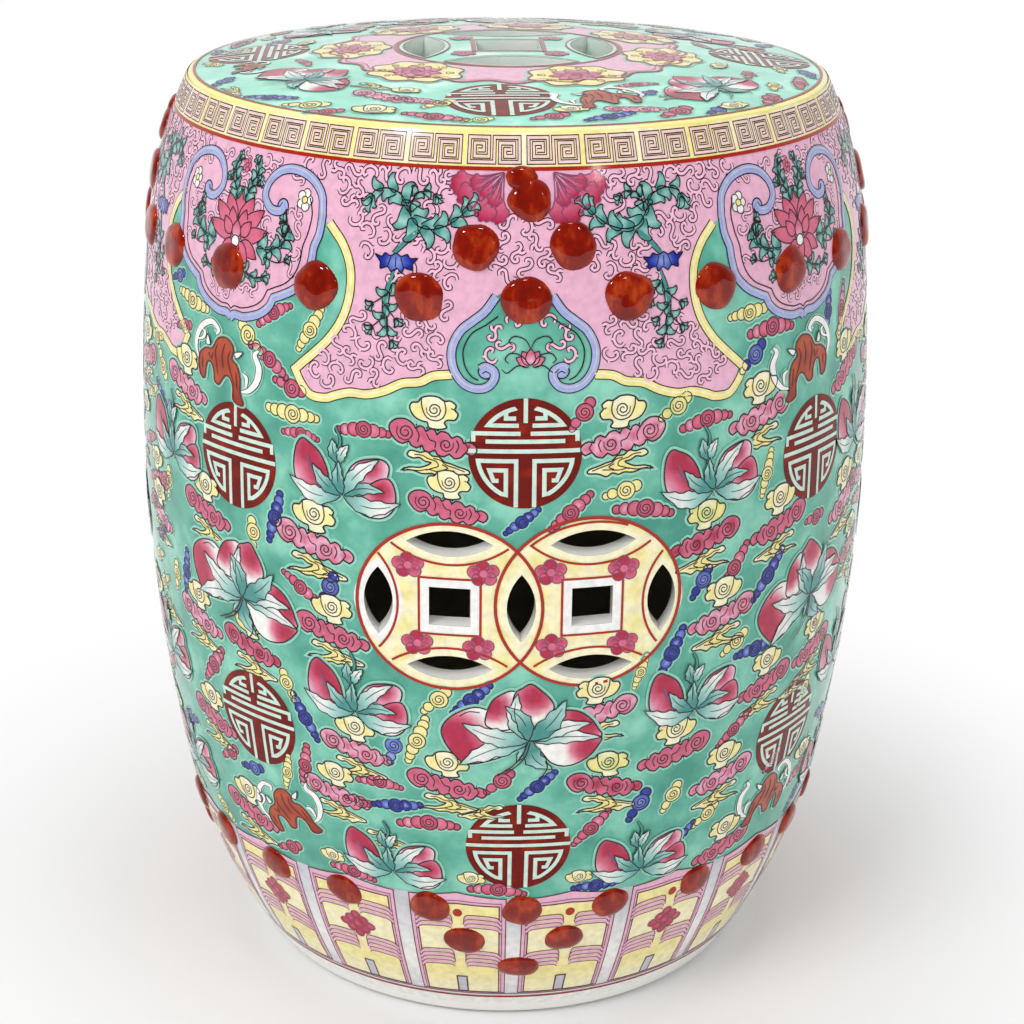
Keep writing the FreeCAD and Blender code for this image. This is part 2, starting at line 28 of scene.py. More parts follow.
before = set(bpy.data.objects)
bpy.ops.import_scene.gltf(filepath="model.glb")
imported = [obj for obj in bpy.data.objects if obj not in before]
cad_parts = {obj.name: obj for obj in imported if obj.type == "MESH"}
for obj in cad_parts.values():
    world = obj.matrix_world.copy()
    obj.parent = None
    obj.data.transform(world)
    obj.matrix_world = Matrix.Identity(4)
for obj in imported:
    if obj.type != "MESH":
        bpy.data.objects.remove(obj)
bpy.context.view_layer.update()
bpy.ops.object.select_all(action="DESELECT")
print("frame loaded")

# colours as they are mixed on the palette, 0 to 255
palette = {
    "turquoise": (94, 174, 152), "aqua": (205, 230, 216), "pink": (234, 180, 204), "deepPink": (202, 94, 126),
    "yellow": (246, 232, 150), "paleYellow": (250, 243, 205), "iron": (108, 16, 6), "rust": (148, 38, 14),
    "lavender": (164, 174, 224), "cobalt": (26, 40, 150), "sky": (98, 122, 208), "crimson": (178, 36, 72),
    "rose": (217, 108, 136), "white": (247, 245, 241), "leaf": (70, 144, 138), "paleLeaf": (158, 206, 198),
    "ink": (36, 28, 30), "brownInk": (96, 46, 36), "mauve": (140, 76, 108), "red": (170, 36, 18),
    "lime": (204, 222, 130), "slate": (196, 196, 206), "paleTurquoise": (150, 214, 192), "amber": (184, 76, 32),
    "deepTurquoise": (66, 146, 128), "mistTurquoise": (140, 208, 186), "mint": (150, 228, 204),
    "mist": (212, 246, 234), "darkIron": (102, 12, 2), "emberRed": (134, 22, 4), "ember": (186, 68, 24),
    "blush": (243, 190, 212), "plum": (66, 40, 54), "paleRose": (243, 202, 218), "shellPink": (240, 204, 200),
    "biscuit": (150, 138, 122), "paleBiscuit": (176, 164, 148),
}


def linear(name):
    out = []
    for part in palette[name]:
        s = part / 255.0
        out.append(s / 12.92 if s <= 0.04045 else ((s + 0.055) / 1.055) ** 2.4)
    return tuple(out) + (1.0,)


barrelForm = {
    "radii": (131.7, 171.0, 185.4, 177.8, 155.4), "heights": (0.0, 101.4, 262.0, 388.0, 460.0),
    "wall": 10.0, "footRound": 8.0, "joint": 450.0, "turns": 360,
}


def arcFromBelly(belly, other):
    inset, rise = belly[0] - other[0], belly[1] - other[1]
    reach = (inset ** 2 + rise ** 2) / (2.0 * inset)
    return belly[0] - reach, belly[1], reach


def arcOnward(arc, start, end):
    toward = Vector((arc[0] - start[0], arc[1] - start[1])).normalized()
    chord = Vector((end[0] - start[0], end[1] - start[1]))
    reach = chord.length_squared / (2.0 * chord.dot(toward))
    return start[0] + toward[0] * reach, start[1] + toward[1] * reach, reach


def outlineArcs():
    foot, flank, belly, shoulder, rim = zip(barrelForm["radii"], barrelForm["heights"])
    lower, upper = arcFromBelly(belly, flank), arcFromBelly(belly, shoulder)
    return arcOnward(lower, flank, foot), lower, upper, arcOnward(upper, shoulder, rim)


arcs = np.array(outlineArcs())


def arcAt(z):
    # the arc of the outline that each height lies on
    return arcs[np.searchsorted(barrelForm["heights"][1:4], z, side="left")]


def wallRadius(z, inward=0.0):
    z = np.asarray(z, float)
    arc = arcAt(z)
    return arc[..., 0] + np.sqrt((arc[..., 2] - inward) ** 2 - (z - arc[..., 1]) ** 2)


def wallPlace(a, z, lift):
    # point and outward direction on the wall, a in degrees from the front to the right
    arc, r = arcAt(z), wallRadius(z)
    out, up = (r - arc[:, 0]) / arc[:, 2], (z - arc[:, 1]) / arc[:, 2]
    s, c = np.sin(np.radians(a)), -np.cos(np.radians(a))
    way = np.stack([out * s, out * c, up], 1)
    return np.stack([r * s, r * c, z], 1) + way * np.asarray(lift)[:, None], way


seatForm = {
    "radius": 155.4, "rim": 460.0, "dome": 10.0, "bearing": 10.5, "square": 31.0, "lens": (60.0, 21.0),
    "reach": 41.0, "lipDrop": 2.4, "lipRound": (1.9, 1.8), "lipSwell": 0.25, "lipInset": 2.6,
}


def seatHeight(r):
    return seatForm["rim"] + seatForm["dome"] * (1.0 - (r / seatForm["radius"]) ** 2)


def seatPlace(x, y, lift):
    r = np.hypot(x, y)
    slope = 2.0 * seatForm["dome"] / seatForm["radius"] ** 2
    way = np.stack([x * slope, y * slope, np.ones_like(x)], 1)
    way /= np.linalg.norm(way, axis=1)[:, None]
    return np.stack([x, y, seatHeight(r)], 1) + way * np.asarray(lift)[:, None], way


# finishes
def newMaterial(name):
    made = bpy.data.materials.new(name)
    made.use_nodes = True
    return made, made.node_tree.nodes, made.node_tree.links, made.node_tree.nodes["Principled BSDF"]


def addNode(nodes, kind, **values):
    # a shader node with its sockets set, a space in a socket's name written as _
    made = nodes.new("ShaderNode" + kind)
    for socket, value in values.items():
        made.inputs[socket.replace("_", " ")].default_value = value
    return made


def toneRamp(nodes, start, end, tones):
    made = nodes.new("ShaderNodeValToRGB")
    for stop, place, tone in zip(made.color_ramp.elements, (start, end), (tones[0], tones[-1])):
        stop.position = place
        stop.color = tone
    if len(tones) > 2:
        made.color_ramp.elements.new((start + end) / 2.0).color = tones[1]
    return made


def glazeShine(shader, rough, coat=0.08):
    shader.inputs["Roughness"].default_value = rough
    shader.inputs["IOR"].default_value = 1.4 if coat else 1.25
    shader.inputs["Coat Weight"].default_value = coat
    shader.inputs["Coat Roughness"].default_value = 0.04


def brushedGlaze(name, tones, scale=9.0, stretch=(1.0, 1.0, 1.0), rough=0.11, coat=0.1, relief=0.12,
                 spread=0.5):
    # hand-laid glaze: two or three tones that run into each other, with a soft skin
    made, nodes, links, shader = newMaterial(name)
    place = addNode(nodes, "TexCoord")
    turn = addNode(nodes, "Mapping", Scale=stretch)
    cloud = addNode(nodes, "TexNoise", Scale=scale, Detail=4.0, Roughness=0.55)
    mixer = toneRamp(nodes, 0.5 - spread / 2.0, 0.5 + spread / 2.0, [linear(tone) for tone in tones])
    links.new(place.outputs["Object"], turn.inputs["Vector"])
    links.new(turn.outputs["Vector"], cloud.inputs["Vector"])
    links.new(cloud.outputs["Fac"], mixer.inputs["Fac"])
    links.new(mixer.outputs["Color"], shader.inputs["Base Color"])
    glazeShine(shader, rough, coat)
    softSkin(nodes, links, shader, place, relief)
    return made


def softSkin(nodes, links, shader, place, relief):
    # the slight waves of a poured glaze
    waves = addNode(nodes, "TexNoise", Scale=70.0, Detail=2.0)
    bump = addNode(nodes, "Bump", Strength=relief, Distance=0.0006)
    links.new(place.outputs["Object"], waves.inputs["Vector"])
    links.new(waves.outputs["Fac"], bump.inputs["Height"])
    links.new(bump.outputs["Normal"], shader.inputs["Normal"])


def paintedGlaze(name):
    # enamel whose colours were brushed on shape by shape, kept in the enamel attribute
    made, nodes, links, shader = newMaterial(name)
    tint = addNode(nodes, "Attribute")
    tint.attribute_name = "enamel"
    place = addNode(nodes, "TexCoord")
    strokes = addNode(nodes, "TexNoise", Scale=260.0, Detail=3.0)
    worn = addNode(nodes, "Mix")
    worn.data_type = "RGBA"
    worn.blend_type = "MULTIPLY"
    worn.inputs[0].default_value = 0.55
    soft = toneRamp(nodes, 0.3, 0.62, [(0.72, 0.72, 0.74, 1.0), (1.0, 1.0, 1.0, 1.0)])
    links.new(place.outputs["Object"], strokes.inputs["Vector"])
    links.new(strokes.outputs["Fac"], soft.inputs["Fac"])
    links.new(tint.outputs["Color"], worn.inputs[6])
    links.new(soft.outputs["Color"], worn.inputs[7])
    links.new(worn.outputs[2], shader.inputs["Base Color"])
    glazeShine(shader, 0.13)
    softSkin(nodes, links, shader, place, 0.1)
    return made


def plainGlaze(name, tone):
    made, nodes, links, shader = newMaterial(name)
    shader.inputs["Base Color"].default_value = linear(tone)
    glazeShine(shader, 0.25)
    return made


# the seat's mint ground is a paler copy of the wall's turquoise glaze: partly the seat's own paler glaze,
# partly painted light, its upward face lightened as if lit and mirroring the bright room
finishes = {"ground": brushedGlaze("turquoiseGlaze", ("deepTurquoise", "turquoise", "mistTurquoise"), 36.0,
        spread=0.36), "seatGroundAndLight": brushedGlaze("mintGlazeAndLight", ("mistTurquoise", "mint", "mist"), 34.0,
                spread=0.36), "cream": brushedGlaze("yellowGlaze", ("yellow", "yellow", "paleYellow"), 22.0),
                "biscuit": brushedGlaze("rawClay", ("biscuit", "paleBiscuit"), 60.0, rough=0.85, coat=0.0),
                "aqua": brushedGlaze("paleAquaGlaze", ("aqua", "white"), 30.0),
                "white": brushedGlaze("whiteGlaze", ("white", "white"), 7.0, rough=0.14),
                "lumps": brushedGlaze("ironRedGlaze", ("darkIron", "emberRed", "ember"), 150.0, (1.0, 1.0, 0.6),
                        0.05, relief=0.3, spread=0.46),
                        "iron": brushedGlaze("ironRedEnamel", ("iron", "iron", "rust"), 90.0, rough=0.12,
                                coat=0.0, relief=0.1), "painted": paintedGlaze("paintedEnamel"),
                                "ink": plainGlaze("inkEnamel", "ink")}
print("finishes mixed")


# modelling helpers
def deselectAll():
    if bpy.context.object and bpy.context.object.mode != "OBJECT":
        bpy.ops.object.mode_set(mode="OBJECT")
    bpy.ops.object.select_all(action="DESELECT")


def keep(piece, name, finish, nodes=()):
    # names a finished piece, gives it its finish and ties it to the frame
    piece.name = name
    piece.data.name = name
    piece.data.materials.clear()
    piece.data.materials.append(finishes[finish])
    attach(piece, "root")
    if nodes:
        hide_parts(*nodes)
    return piece


def spunForm(name, outline, turns):
    # a closed outline of (radius, height) points, spun round the upright axis
    deselectAll()
    bpy.ops.mesh.primitive_circle_add(vertices=len(outline), radius=0.1, fill_type="NOTHING")
    made = bpy.context.object
    made.name = name
    for point, (r, z) in zip(made.data.vertices, outline):
        point.co = Vector((r, 0.0, z)) / 1000.0
    bpy.ops.object.mode_set(mode="EDIT")
    bpy.ops.mesh.select_all(action="SELECT")
    bpy.ops.mesh.spin(steps=turns, angle=math.tau, center=(0.0, 0.0, 0.0), axis=(0.0, 0.0, 1.0))
    bpy.ops.mesh.select_all(action="SELECT")
    bpy.ops.mesh.remove_doubles(threshold=0.00002)
    bpy.ops.mesh.normals_make_consistent(inside=False)
    bpy.ops.object.mode_set(mode="OBJECT")
    bpy.ops.object.shade_smooth_by_angle(angle=math.radians(35.0))
    return made


def lensOutline(length, width, upright=False, count=20):
    half, rise = length / 2.0, width / 2.0
    reach = (half ** 2 + rise ** 2) / (2.0 * rise)
    turn = math.asin(half / reach)
    side = [(reach * math.sin(t), reach * math.cos(t) - reach + rise) for t in np.linspace(turn, -turn, count)]
    ring = side[:-1] + [(-x, -y) for x, y in side[:-1]]
    return [(y, -x) for x, y in ring] if upright else ring


def squareOutline(side):
    h = side / 2.0
    steps = np.linspace(-h, h, 7)[:-1]
    return ([(h, t) for t in steps] + [(-t, h) for t in steps]
            + [(-h, -t) for t in steps] + [(t, -h) for t in steps])


def moved(loop, dx, dy):
    return [(x + dx, y + dy) for x, y in loop]


def cutter(loop, low, high, along):
    # a prism through the clay: along Y for the wall, along Z for the seat
    deselectAll()
    bpy.ops.mesh.primitive_circle_add(vertices=len(loop), radius=0.1, fill_type="NGON")
    made = bpy.context.object
    for point, (u, v) in zip(made.data.vertices, loop):
        point.co = (u / 1000, low / 1000, v / 1000) if along == "Y" else (u / 1000, v / 1000, low / 1000)
    bpy.ops.object.mode_set(mode="EDIT")
    bpy.ops.mesh.select_all(action="SELECT")
    way = (high - low) / 1000.0
    move = (0.0, way, 0.0) if along == "Y" else (0.0, 0.0, way)
    bpy.ops.mesh.extrude_region_move(TRANSFORM_OT_translate={"value": move})
    bpy.ops.mesh.select_all(action="SELECT")
    bpy.ops.mesh.normals_make_consistent(inside=False)
    bpy.ops.object.mode_set(mode="OBJECT")
    return made


def pierce(piece, cutters):
    deselectAll()
    for each in cutters:
        each.select_set(True)
    bpy.context.view_layer.objects.active = cutters[0]
    bpy.ops.object.join()
    tool = bpy.context.object
    deselectAll()
    piece.select_set(True)
    bpy.context.view_layer.objects.active = piece
    cut = piece.modifiers.new("holes", "BOOLEAN")
    cut.operation = "DIFFERENCE"
    cut.solver = "EXACT"
    cut.object = tool
    bpy.ops.object.modifier_apply(modifier="holes")
    bpy.data.objects.remove(tool)


def splitOff(piece, wanted, name):
    # parts the faces that wanted(middle, normal) picks from the rest, as a piece of their own
    deselectAll()
    piece.select_set(True)
    bpy.context.view_layer.objects.active = piece
    for face in piece.data.polygons:
        face.select = wanted(face.center * 1000.0, face.normal)
    for edge in piece.data.edges:
        edge.select = False
    for point in piece.data.vertices:
        point.select = False
    bpy.ops.object.mode_set(mode="EDIT")
    bpy.ops.mesh.select_mode(type="FACE")
    bpy.ops.mesh.separate(type="SELECTED")
    bpy.ops.object.mode_set(mode="OBJECT")
    other = [o for o in bpy.context.selected_objects if o is not piece][0]
    other.name = name
    return other


# the fired clay
coinForm = {"height": 251.0, "pitch": 64.0, "square": 18.5, "lens": (38.5, 12.0), "reach": 30.5,
            "sideLens": (33.0, 13.0)}


def coinHoles():
    # outlines of the nine holes of one panel, as (across, up)
    holes, mid = [], coinForm["height"]
    for side in (-1.0, 1.0):
        x = side * coinForm["pitch"] / 2.0
        holes.append(moved(squareOutline(coinForm["square"]), x, mid))
        holes.append(moved(lensOutline(*coinForm["lens"]), x, mid + coinForm["reach"]))
        holes.append(moved(lensOutline(*coinForm["lens"]), x, mid - coinForm["reach"]))
        holes.append(moved(lensOutline(*coinForm["sideLens"], upright=True), 2.0 * x, mid))
    holes.append(moved(lensOutline(*coinForm["sideLens"], upright=True), 0.0, mid))
    return holes


def seatHoles():
    holes, reach = [squareOutline(seatForm["square"])], seatForm["reach"]
    for side in (-1.0, 1.0):
        holes.append(moved(lensOutline(*seatForm["lens"]), 0.0, side * reach))
        holes.append(moved(lensOutline(*seatForm["lens"], upright=True), side * reach, 0.0))
    return holes


def barrelOutline():
    rounding, low = barrelForm["footRound"], arcs[0]
    across = math.sqrt((low[2] - rounding) ** 2 - (rounding - low[1]) ** 2)
    heel = (low[0] + across, rounding)
    meet = math.atan2(heel[1] - low[1], heel[0] - low[0])
    points = [(heel[0] + rounding * math.cos(t), heel[1] + rounding * math.sin(t))
              for t in np.linspace(-math.pi / 2.0, meet, 9)]
    steps = np.linspace(points[-1][1], barrelForm["joint"], 96)[1:]
    points += [(float(wallRadius(z)), z) for z in steps]
    inner = np.linspace(barrelForm["joint"], 0.0, 50)
    points += [(float(wallRadius(z, barrelForm["wall"])), z) for z in inner]
    return points


def seatOutline():
    r, rim = seatForm["radius"], seatForm["rim"]
    inward, upward = seatForm["lipRound"]
    edge = [(float(wallRadius(z)), z) for z in np.linspace(barrelForm["joint"], rim - seatForm["lipDrop"], 5)]
    rounding = [(r + seatForm["lipSwell"] - inward * (1.0 - math.cos(t)), rim - 1.7 + upward * math.sin(t))
                for t in np.linspace(0.15, 1.45, 6)]
    top = [(q, seatHeight(q)) for q in np.linspace(r - seatForm["lipInset"], 2.0, 50)]
    bearing = float(wallRadius(barrelForm["joint"])) - seatForm["bearing"]
    under = [(q, barrelForm["joint"] + seatForm["dome"] * (1.0 - (q / bearing) ** 2))
             for q in np.linspace(2.0, bearing, 30)]
    return edge + rounding + top + under


def across(middle):
    return math.hypot(middle.x, middle.y)


def isHollowSide(middle, normal):
    # faces of the wall that look inward, down at the foot or into a hole
    r = across(middle)
    outward = (normal.x * middle.x + normal.y * middle.y) / r
    return r < float(wallRadius(max(middle.z, 1.0))) - 0.6 and middle.z > 2.0 or outward < -0.2


barrel = spunForm("barrel", barrelOutline(), barrelForm["turns"])
pierce(barrel, [cutter(loop, -230.0, 230.0, "Y") for loop in coinHoles()])
lining = splitOff(barrel, isHollowSide, "barrelLining")
innerClay = splitOff(lining, lambda middle, normal: across(middle) < float(wallRadius(middle.z)) - 9.4,
                     "innerClay")
footRing = splitOff(barrel, lambda middle, normal: middle.z < 16.4, "footRing")
keep(barrel, "barrelShell", "ground", ["barrel_wall"])
keep(lining, "barrelLining", "white")
keep(innerClay, "innerClay", "biscuit")
keep(footRing, "footRing", "white")
seat = spunForm("seat", seatOutline(), 240)
pierce(seat, [cutter(loop, 420.0, 500.0, "Z") for loop in seatHoles()])
holeSides = splitOff(seat, lambda middle, normal: abs(normal.z) < 0.3 and across(middle) < 80.0,
                     "seatHoleSides")
seatLip = splitOff(seat, lambda middle, normal: across(middle) > 152.2 and middle.z > 450.4, "seatLip")
# the seat's top takes the paler mint ground, which is partly painted light
keep(seat, "seatShell", "seatGroundAndLight", ["seat_slab"])
keep(holeSides, "seatHoleSides", "aqua")
keep(seatLip, "seatLip", "cream")
print("barrel and seat formed")


# the lumps stuck on in rows
bossForm = {"proud": 3.1, "rings": 16, "segments": 32, "uneven": 0.14, "dimpled": 0.035,
            "upper": (391.5, 413.5, 434.0), "lower": (83.0, 62.0, 42.5), "upperSize": (22.2, 21.2, 21.4),
            "lowerSize": (19.8, 21.0, 19.2), "pairs": (6.9, 8.7)}
upperStray = (0.2, -0.1, -1.4, -1.4, -0.9, 0.4, 0.0, 0.6, -0.8, -1.2, 0.5, 0.3,
              -0.4, 0.2, 0.9, -0.6, 0.3, 1.0, 0.0, -1.1, -2.6, -2.2, -0.4, 0.3)
lowerStray = (1.1, 1.2, 3.0, 2.6, 1.6, 0.8, 0.0, -0.5, 0.9, 0.3, -0.7, 0.4,
              0.2, -0.6, 0.5, 1.0, -0.4, 0.1, 0.0, 0.4, -0.3, 0.1, 0.2, 0.7)


def lump(a, z, width, tall, proud, seed, slump=0.0):
    # one lump of clay, pressed on by hand at a degrees and z up, no two alike
    deselectAll()
    segments, rings = bossForm["segments"], bossForm["rings"]
    bpy.ops.mesh.primitive_uv_sphere_add(segments=segments, ring_count=rings, radius=1.0)
    made = bpy.context.object
    place, way = wallPlace(np.array([a]), np.array([z]), np.array([0.0]))
    out, side = Vector(way[0]), Vector((math.cos(math.radians(a)), math.sin(math.radians(a)), 0.0))
    up = out.cross(side)
    up *= math.copysign(1.0, up.z)
    for point in made.data.vertices:
        x, y, h = point.co
        push = 1.0 + bossForm["uneven"] * noise.noise(Vector((x * 0.9 + seed * 7.1, y * 0.9, h * 0.9)))
        push += bossForm["dimpled"] * noise.noise(Vector((x * 2.1, y * 2.1 + seed * 3.7, h * 2.1)))
        flat = math.copysign(1.0 - (1.0 - abs(h)) ** 1.8, h)
        narrow = 1.0 - 0.12 * max(h, 0.0)
        x, y = x * push * narrow, y * push * narrow + slump * h
        local = side * (x * width / 2.0) + up * (y * tall / 2.0) + out * (flat * push * proud - 0.5)
        point.co = (Vector(place[0]) + local) / 1000.0
    bpy.ops.object.mode_set(mode="EDIT")
    bpy.ops.mesh.select_all(action="SELECT")
    bpy.ops.mesh.normals_make_consistent(inside=False)
    bpy.ops.object.mode_set(mode="OBJECT")
    bpy.ops.object.shade_smooth()
    return made


def joined(pieces):
    deselectAll()
    for each in pieces:
        each.select_set(True)
    bpy.context.view_layer.objects.active = pieces[0]
    if len(pieces) > 1:
        bpy.ops.object.join()
    return bpy.context.object


def bossesOfSide(number, side):
    middle, proud = number * 90.0, bossForm["proud"]
    for end, strays, pair in zip(("upper", "lower"), (upperStray, lowerStray), bossForm["pairs"]):
        row, pairHeight, peak = bossForm[end]
        rowWide, pairWide, tall = bossForm[end + "Size"]
        lumps = [lump(place * 15.0 + strays[place % 24], row, rowWide, tall, proud, place + 0.3 * row)
                 for place in range(number * 6 - 2, number * 6 + 4)]
        keep(joined(lumps), "%sRow_%s" % (end, side), "lumps", ["%s_row_bosses_%s" % (end, side)])
        lumps = [lump(middle + s * pair, pairHeight, pairWide, tall - 0.6, proud, s + row + number, 0.2 * s)
                 for s in (-1, 1)]
        keep(joined(lumps), "%sPair_%s" % (end, side), "lumps",
             ["%s_pair_bosses_%s" % (end, side)])
        if end == "upper":
            lumps = [lump(middle + 0.9, peak - 1.5, 19.0, 18.5, proud, 5.0 + number),
                     lump(middle - 0.4, peak + 7.2, 13.5, 10.5, proud - 0.4, 9.0 + number)]
        else:
            lumps = [lump(middle + 0.9, peak, 21.4, 15.6, proud, 2.0 + number)]
        keep(joined(lumps), "%sPeak_%s" % (end, side), "lumps", ["%s_peak_boss_%s" % (end, side)])


for number, side in enumerate(("front", "right", "back", "left")):
    bossesOfSide(number, side)
print("bosses set on")


# drawing: flat shapes in mm, laid on the clay as thin enamel
enamelForm = {"ground": 0.12, "layer": 0.07, "perDegree": 3.2, "inkWidth": 0.62}
laid = {}


def smooth(points, closed=False, per=5):
    # even curve through the points
    p = np.array(points, float)
    p = np.vstack([p[-1:], p, p[:2]]) if closed else np.vstack([2 * p[0] - p[1], p, 2 * p[-1] - p[-2]])
    t = np.linspace(0.0, 1.0, per, endpoint=False)[:, None]
    out = []
    for a, b, c, d in zip(p[:-3], p[1:-2], p[2:-1], p[3:]):
        out.append(0.5 * (2 * b + (c - a) * t + (2 * a - 5 * b + 4 * c - d) * t ** 2
                          + (3 * b - a - 3 * c + d) * t ** 3))
    out = np.vstack(out)
    return out if closed else np.vstack([out, p[-2:-1]])


def even(points):
    # the same corners with points added about every 3 mm along the runs between them
    p = np.array(points, float)
    runs = [np.linspace(a, b, max(int(np.hypot(*(b - a)) / 3.0), 1), endpoint=False)
            for a, b in zip(p[:-1], p[1:])]
    return np.vstack(runs + [p[-1:]])


def isInside(points, loops):
    x, y = points[:, 0][:, None], points[:, 1][:, None]
    inside = np.zeros(len(points), bool)
    for loop in loops:
        a, b = np.asarray(loop), np.roll(np.asarray(loop), -1, 0)
        spans = (a[None, :, 1] > y) != (b[None, :, 1] > y)
        rise = np.where(b[:, 1] == a[:, 1], 1e-9, b[:, 1] - a[:, 1])
        left = x < (b[:, 0] - a[:, 0]) * (y - a[:, 1]) / rise + a[:, 0]
        inside ^= (np.count_nonzero(spans & left, axis=1) % 2).astype(bool)
    return inside


def ringEdges(loops):
    edges, start = [], 0
    for loop in loops:
        edges += [(start + i, start + (i + 1) % len(loop)) for i in range(len(loop))]
        start += len(loop)
    return edges


def triangles(points, edges, least):
    # triangles between the points, all turned the same way, the thinnest slivers left out
    got = geometry.delaunay_2d_cdt([Vector(p) for p in points], edges, [], 0, 1e-4)
    corners = np.array([tuple(v) for v in got[0]])
    faces = np.array([f for f in got[2] if len(f) == 3])
    a, b, c = corners[faces[:, 0]], corners[faces[:, 1]], corners[faces[:, 2]]
    turned = (b[:, 0] - a[:, 0]) * (c[:, 1] - a[:, 1]) - (b[:, 1] - a[:, 1]) * (c[:, 0] - a[:, 0])
    faces[turned < 0] = faces[turned < 0][:, ::-1]
    return corners, faces[np.abs(turned) > least]


def filled(loops, step=5.0):
    # triangles that fill the loops, holes left open, fine enough to follow the clay
    points, edges = np.vstack([np.asarray(loop, float) for loop in loops]), ringEdges(loops)
    low, high = points.min(0), points.max(0)
    gx, gy = np.meshgrid(np.arange(low[0] + step / 2, high[0], step),
                         np.arange(low[1] + step / 2, high[1], step))
    gx[1::2] += step / 2
    grid = np.stack([gx.ravel(), gy.ravel()], 1)
    if len(grid):
        grid = grid[isInside(grid, loops)]
    if len(grid):
        away = np.full(len(grid), 1e9)
        for a, b in zip(points[[e[0] for e in edges]], points[[e[1] for e in edges]]):
            ab = b - a
            t = np.clip(((grid - a) @ ab) / max(ab @ ab, 1e-9), 0, 1)
            away = np.minimum(away, np.linalg.norm(grid - a - t[:, None] * ab, axis=1))
        points = np.vstack([points, grid[away > step * 0.35]])
    corners, faces = triangles(points, edges, 1e-7)
    return corners, faces[isInside(corners[faces].mean(1), loops)]


def tonesAt(points, tone):
    # colour of each point: one of the palette, or a blend that a function works out
    if callable(tone):
        return tone(points)
    return np.tile(np.array(linear(tone)), (len(points), 1))


def blend(tones, share):
    # colours along a row of tones, share from 0 to 1
    table = np.array([linear(t) for t in tones])
    place = np.clip(share, 0, 1) * (len(tones) - 1)
    low = np.minimum(place.astype(int), len(tones) - 2)
    part = (place - low)[:, None]
    return table[low] * (1 - part) + table[low + 1] * part


def glow(middle, reach, tones):
    # blend that goes from the first tone at the middle to the last at its reach
    return lambda p: blend(tones, np.hypot(p[:, 0] - middle[0], p[:, 1] - middle[1]) / reach)


def kindOf(tone):
    return tone if tone in ("ink", "iron") else "paint"


def paint(art, loops, tone, level=1, step=5.0):
    points, faces = filled(loops, step)
    art.append((kindOf(tone), level, points, faces, tonesAt(points, tone)))


def line(art, points, width=None, tone="ink", closed=False, level=3, ends=1.0):
    # a brush line; ends below 1 thin it towards its two ends
    p = np.asarray(points, float)
    keepers = np.ones(len(p), bool)
    keepers[1:] = np.linalg.norm(np.diff(p, axis=0), axis=1) > 0.03
    p = p[keepers]
    n = len(p)
    if closed:
        before, after = np.roll(p, 1, 0), np.roll(p, -1, 0)
    else:
        before, after = np.vstack([p[:1], p[:-1]]), np.vstack([p[1:], p[-1:]])
    u, v = p - before, after - p
    u[np.linalg.norm(u, axis=1) < 1e-9] = v[np.linalg.norm(u, axis=1) < 1e-9]
    v[np.linalg.norm(v, axis=1) < 1e-9] = u[np.linalg.norm(v, axis=1) < 1e-9]
    u /= np.linalg.norm(u, axis=1)[:, None]
    v /= np.linalg.norm(v, axis=1)[:, None]
    way = u + v
    way /= np.maximum(np.linalg.norm(way, axis=1), 1e-6)[:, None]
    across = np.stack([-way[:, 1], way[:, 0]], 1)
    bend = np.clip((way * u).sum(1), 0.5, 1.0)
    w = np.full(n, (width or enamelForm["inkWidth"]) / 2.0)
    if ends < 1.0:
        t = np.abs(np.linspace(-1, 1, n))
        w = w * (1 - (1 - ends) * t ** 2)
    across *= (w / bend)[:, None]
    both = np.vstack([p + across, p - across])
    i = np.arange(n if closed else n - 1)
    j = (i + 1) % n
    faces = np.vstack([np.stack([i, i + n, j + n], 1), np.stack([i, j + n, j], 1)])
    art.append((kindOf(tone), level, both, faces, tonesAt(both, tone)))


def stroke(art, points, width, level=3, ends=1.0, per=4, tone="ink"):
    # a brush line curved through the points
    line(art, smooth(points, per=per), width, tone, level=level, ends=ends)


def tube(art, points, width, tone, rim, level):
    # a band with a dark line along both its sides
    line(art, points, width + 2 * rim, "ink", level=level)
    line(art, points, width, tone, level=level + 1)


def disc(radius, count=40, x=0.0, y=0.0, tall=1.0):
    t = np.linspace(0, math.tau, count, endpoint=False)
    return np.stack([x + radius * np.cos(t), y + radius * tall * np.sin(t)], 1)


def turnedBy(loop, turn, x=0.0, y=0.0):
    c, s = math.cos(math.radians(turn)), math.sin(math.radians(turn))
    loop = np.asarray(loop)
    return np.stack([loop[:, 0] * c - loop[:, 1] * s + x, loop[:, 0] * s + loop[:, 1] * c + y], 1)


def shifted(art, x, y, turn=0.0, size=1.0):
    return [(kind, level, turnedBy(points * size, turn, x, y), faces, tones)
            for kind, level, points, faces, tones in art]


def curl(cx, cy, radius, turns, start, hand=1.0):
    # a spiral from the outside in
    t = np.linspace(0, 1, max(int(10 * turns), 6))
    a = start + hand * t * turns * math.tau
    r = radius * (1 - 0.84 * t)
    return np.stack([cx + r * np.cos(a), cy + r * np.sin(a)], 1)


def lay(surface, art, x=0.0, y=0.0, turn=0.0, size=1.0, flip=False, raw=False, copies=(0.0,), up=0):
    # lays a drawing on the wall at x degrees and y up, or on the seat at (x, y)
    for kind, level, points, faces, tones in art:
        p = turnedBy(points * [-size if flip else size, size], turn)
        if surface == "wall":
            per = enamelForm["perDegree"] if raw else float(wallRadius(y)) * math.pi / 180.0
            p = np.stack([x + p[:, 0] / per, y + p[:, 1]], 1)
        else:
            p = p + [x, y]
        rows = faces[:, ::-1] if flip else faces
        for shift in copies:
            key = "%s %s %d" % (surface, kind, level + up)
            store = laid.setdefault(key, {"points": [], "faces": [], "tones": [], "count": 0})
            store["faces"].append(rows + store["count"])
            store["points"].append(p + [shift, 0.0])
            store["tones"].append(tones)
            store["count"] += len(p)


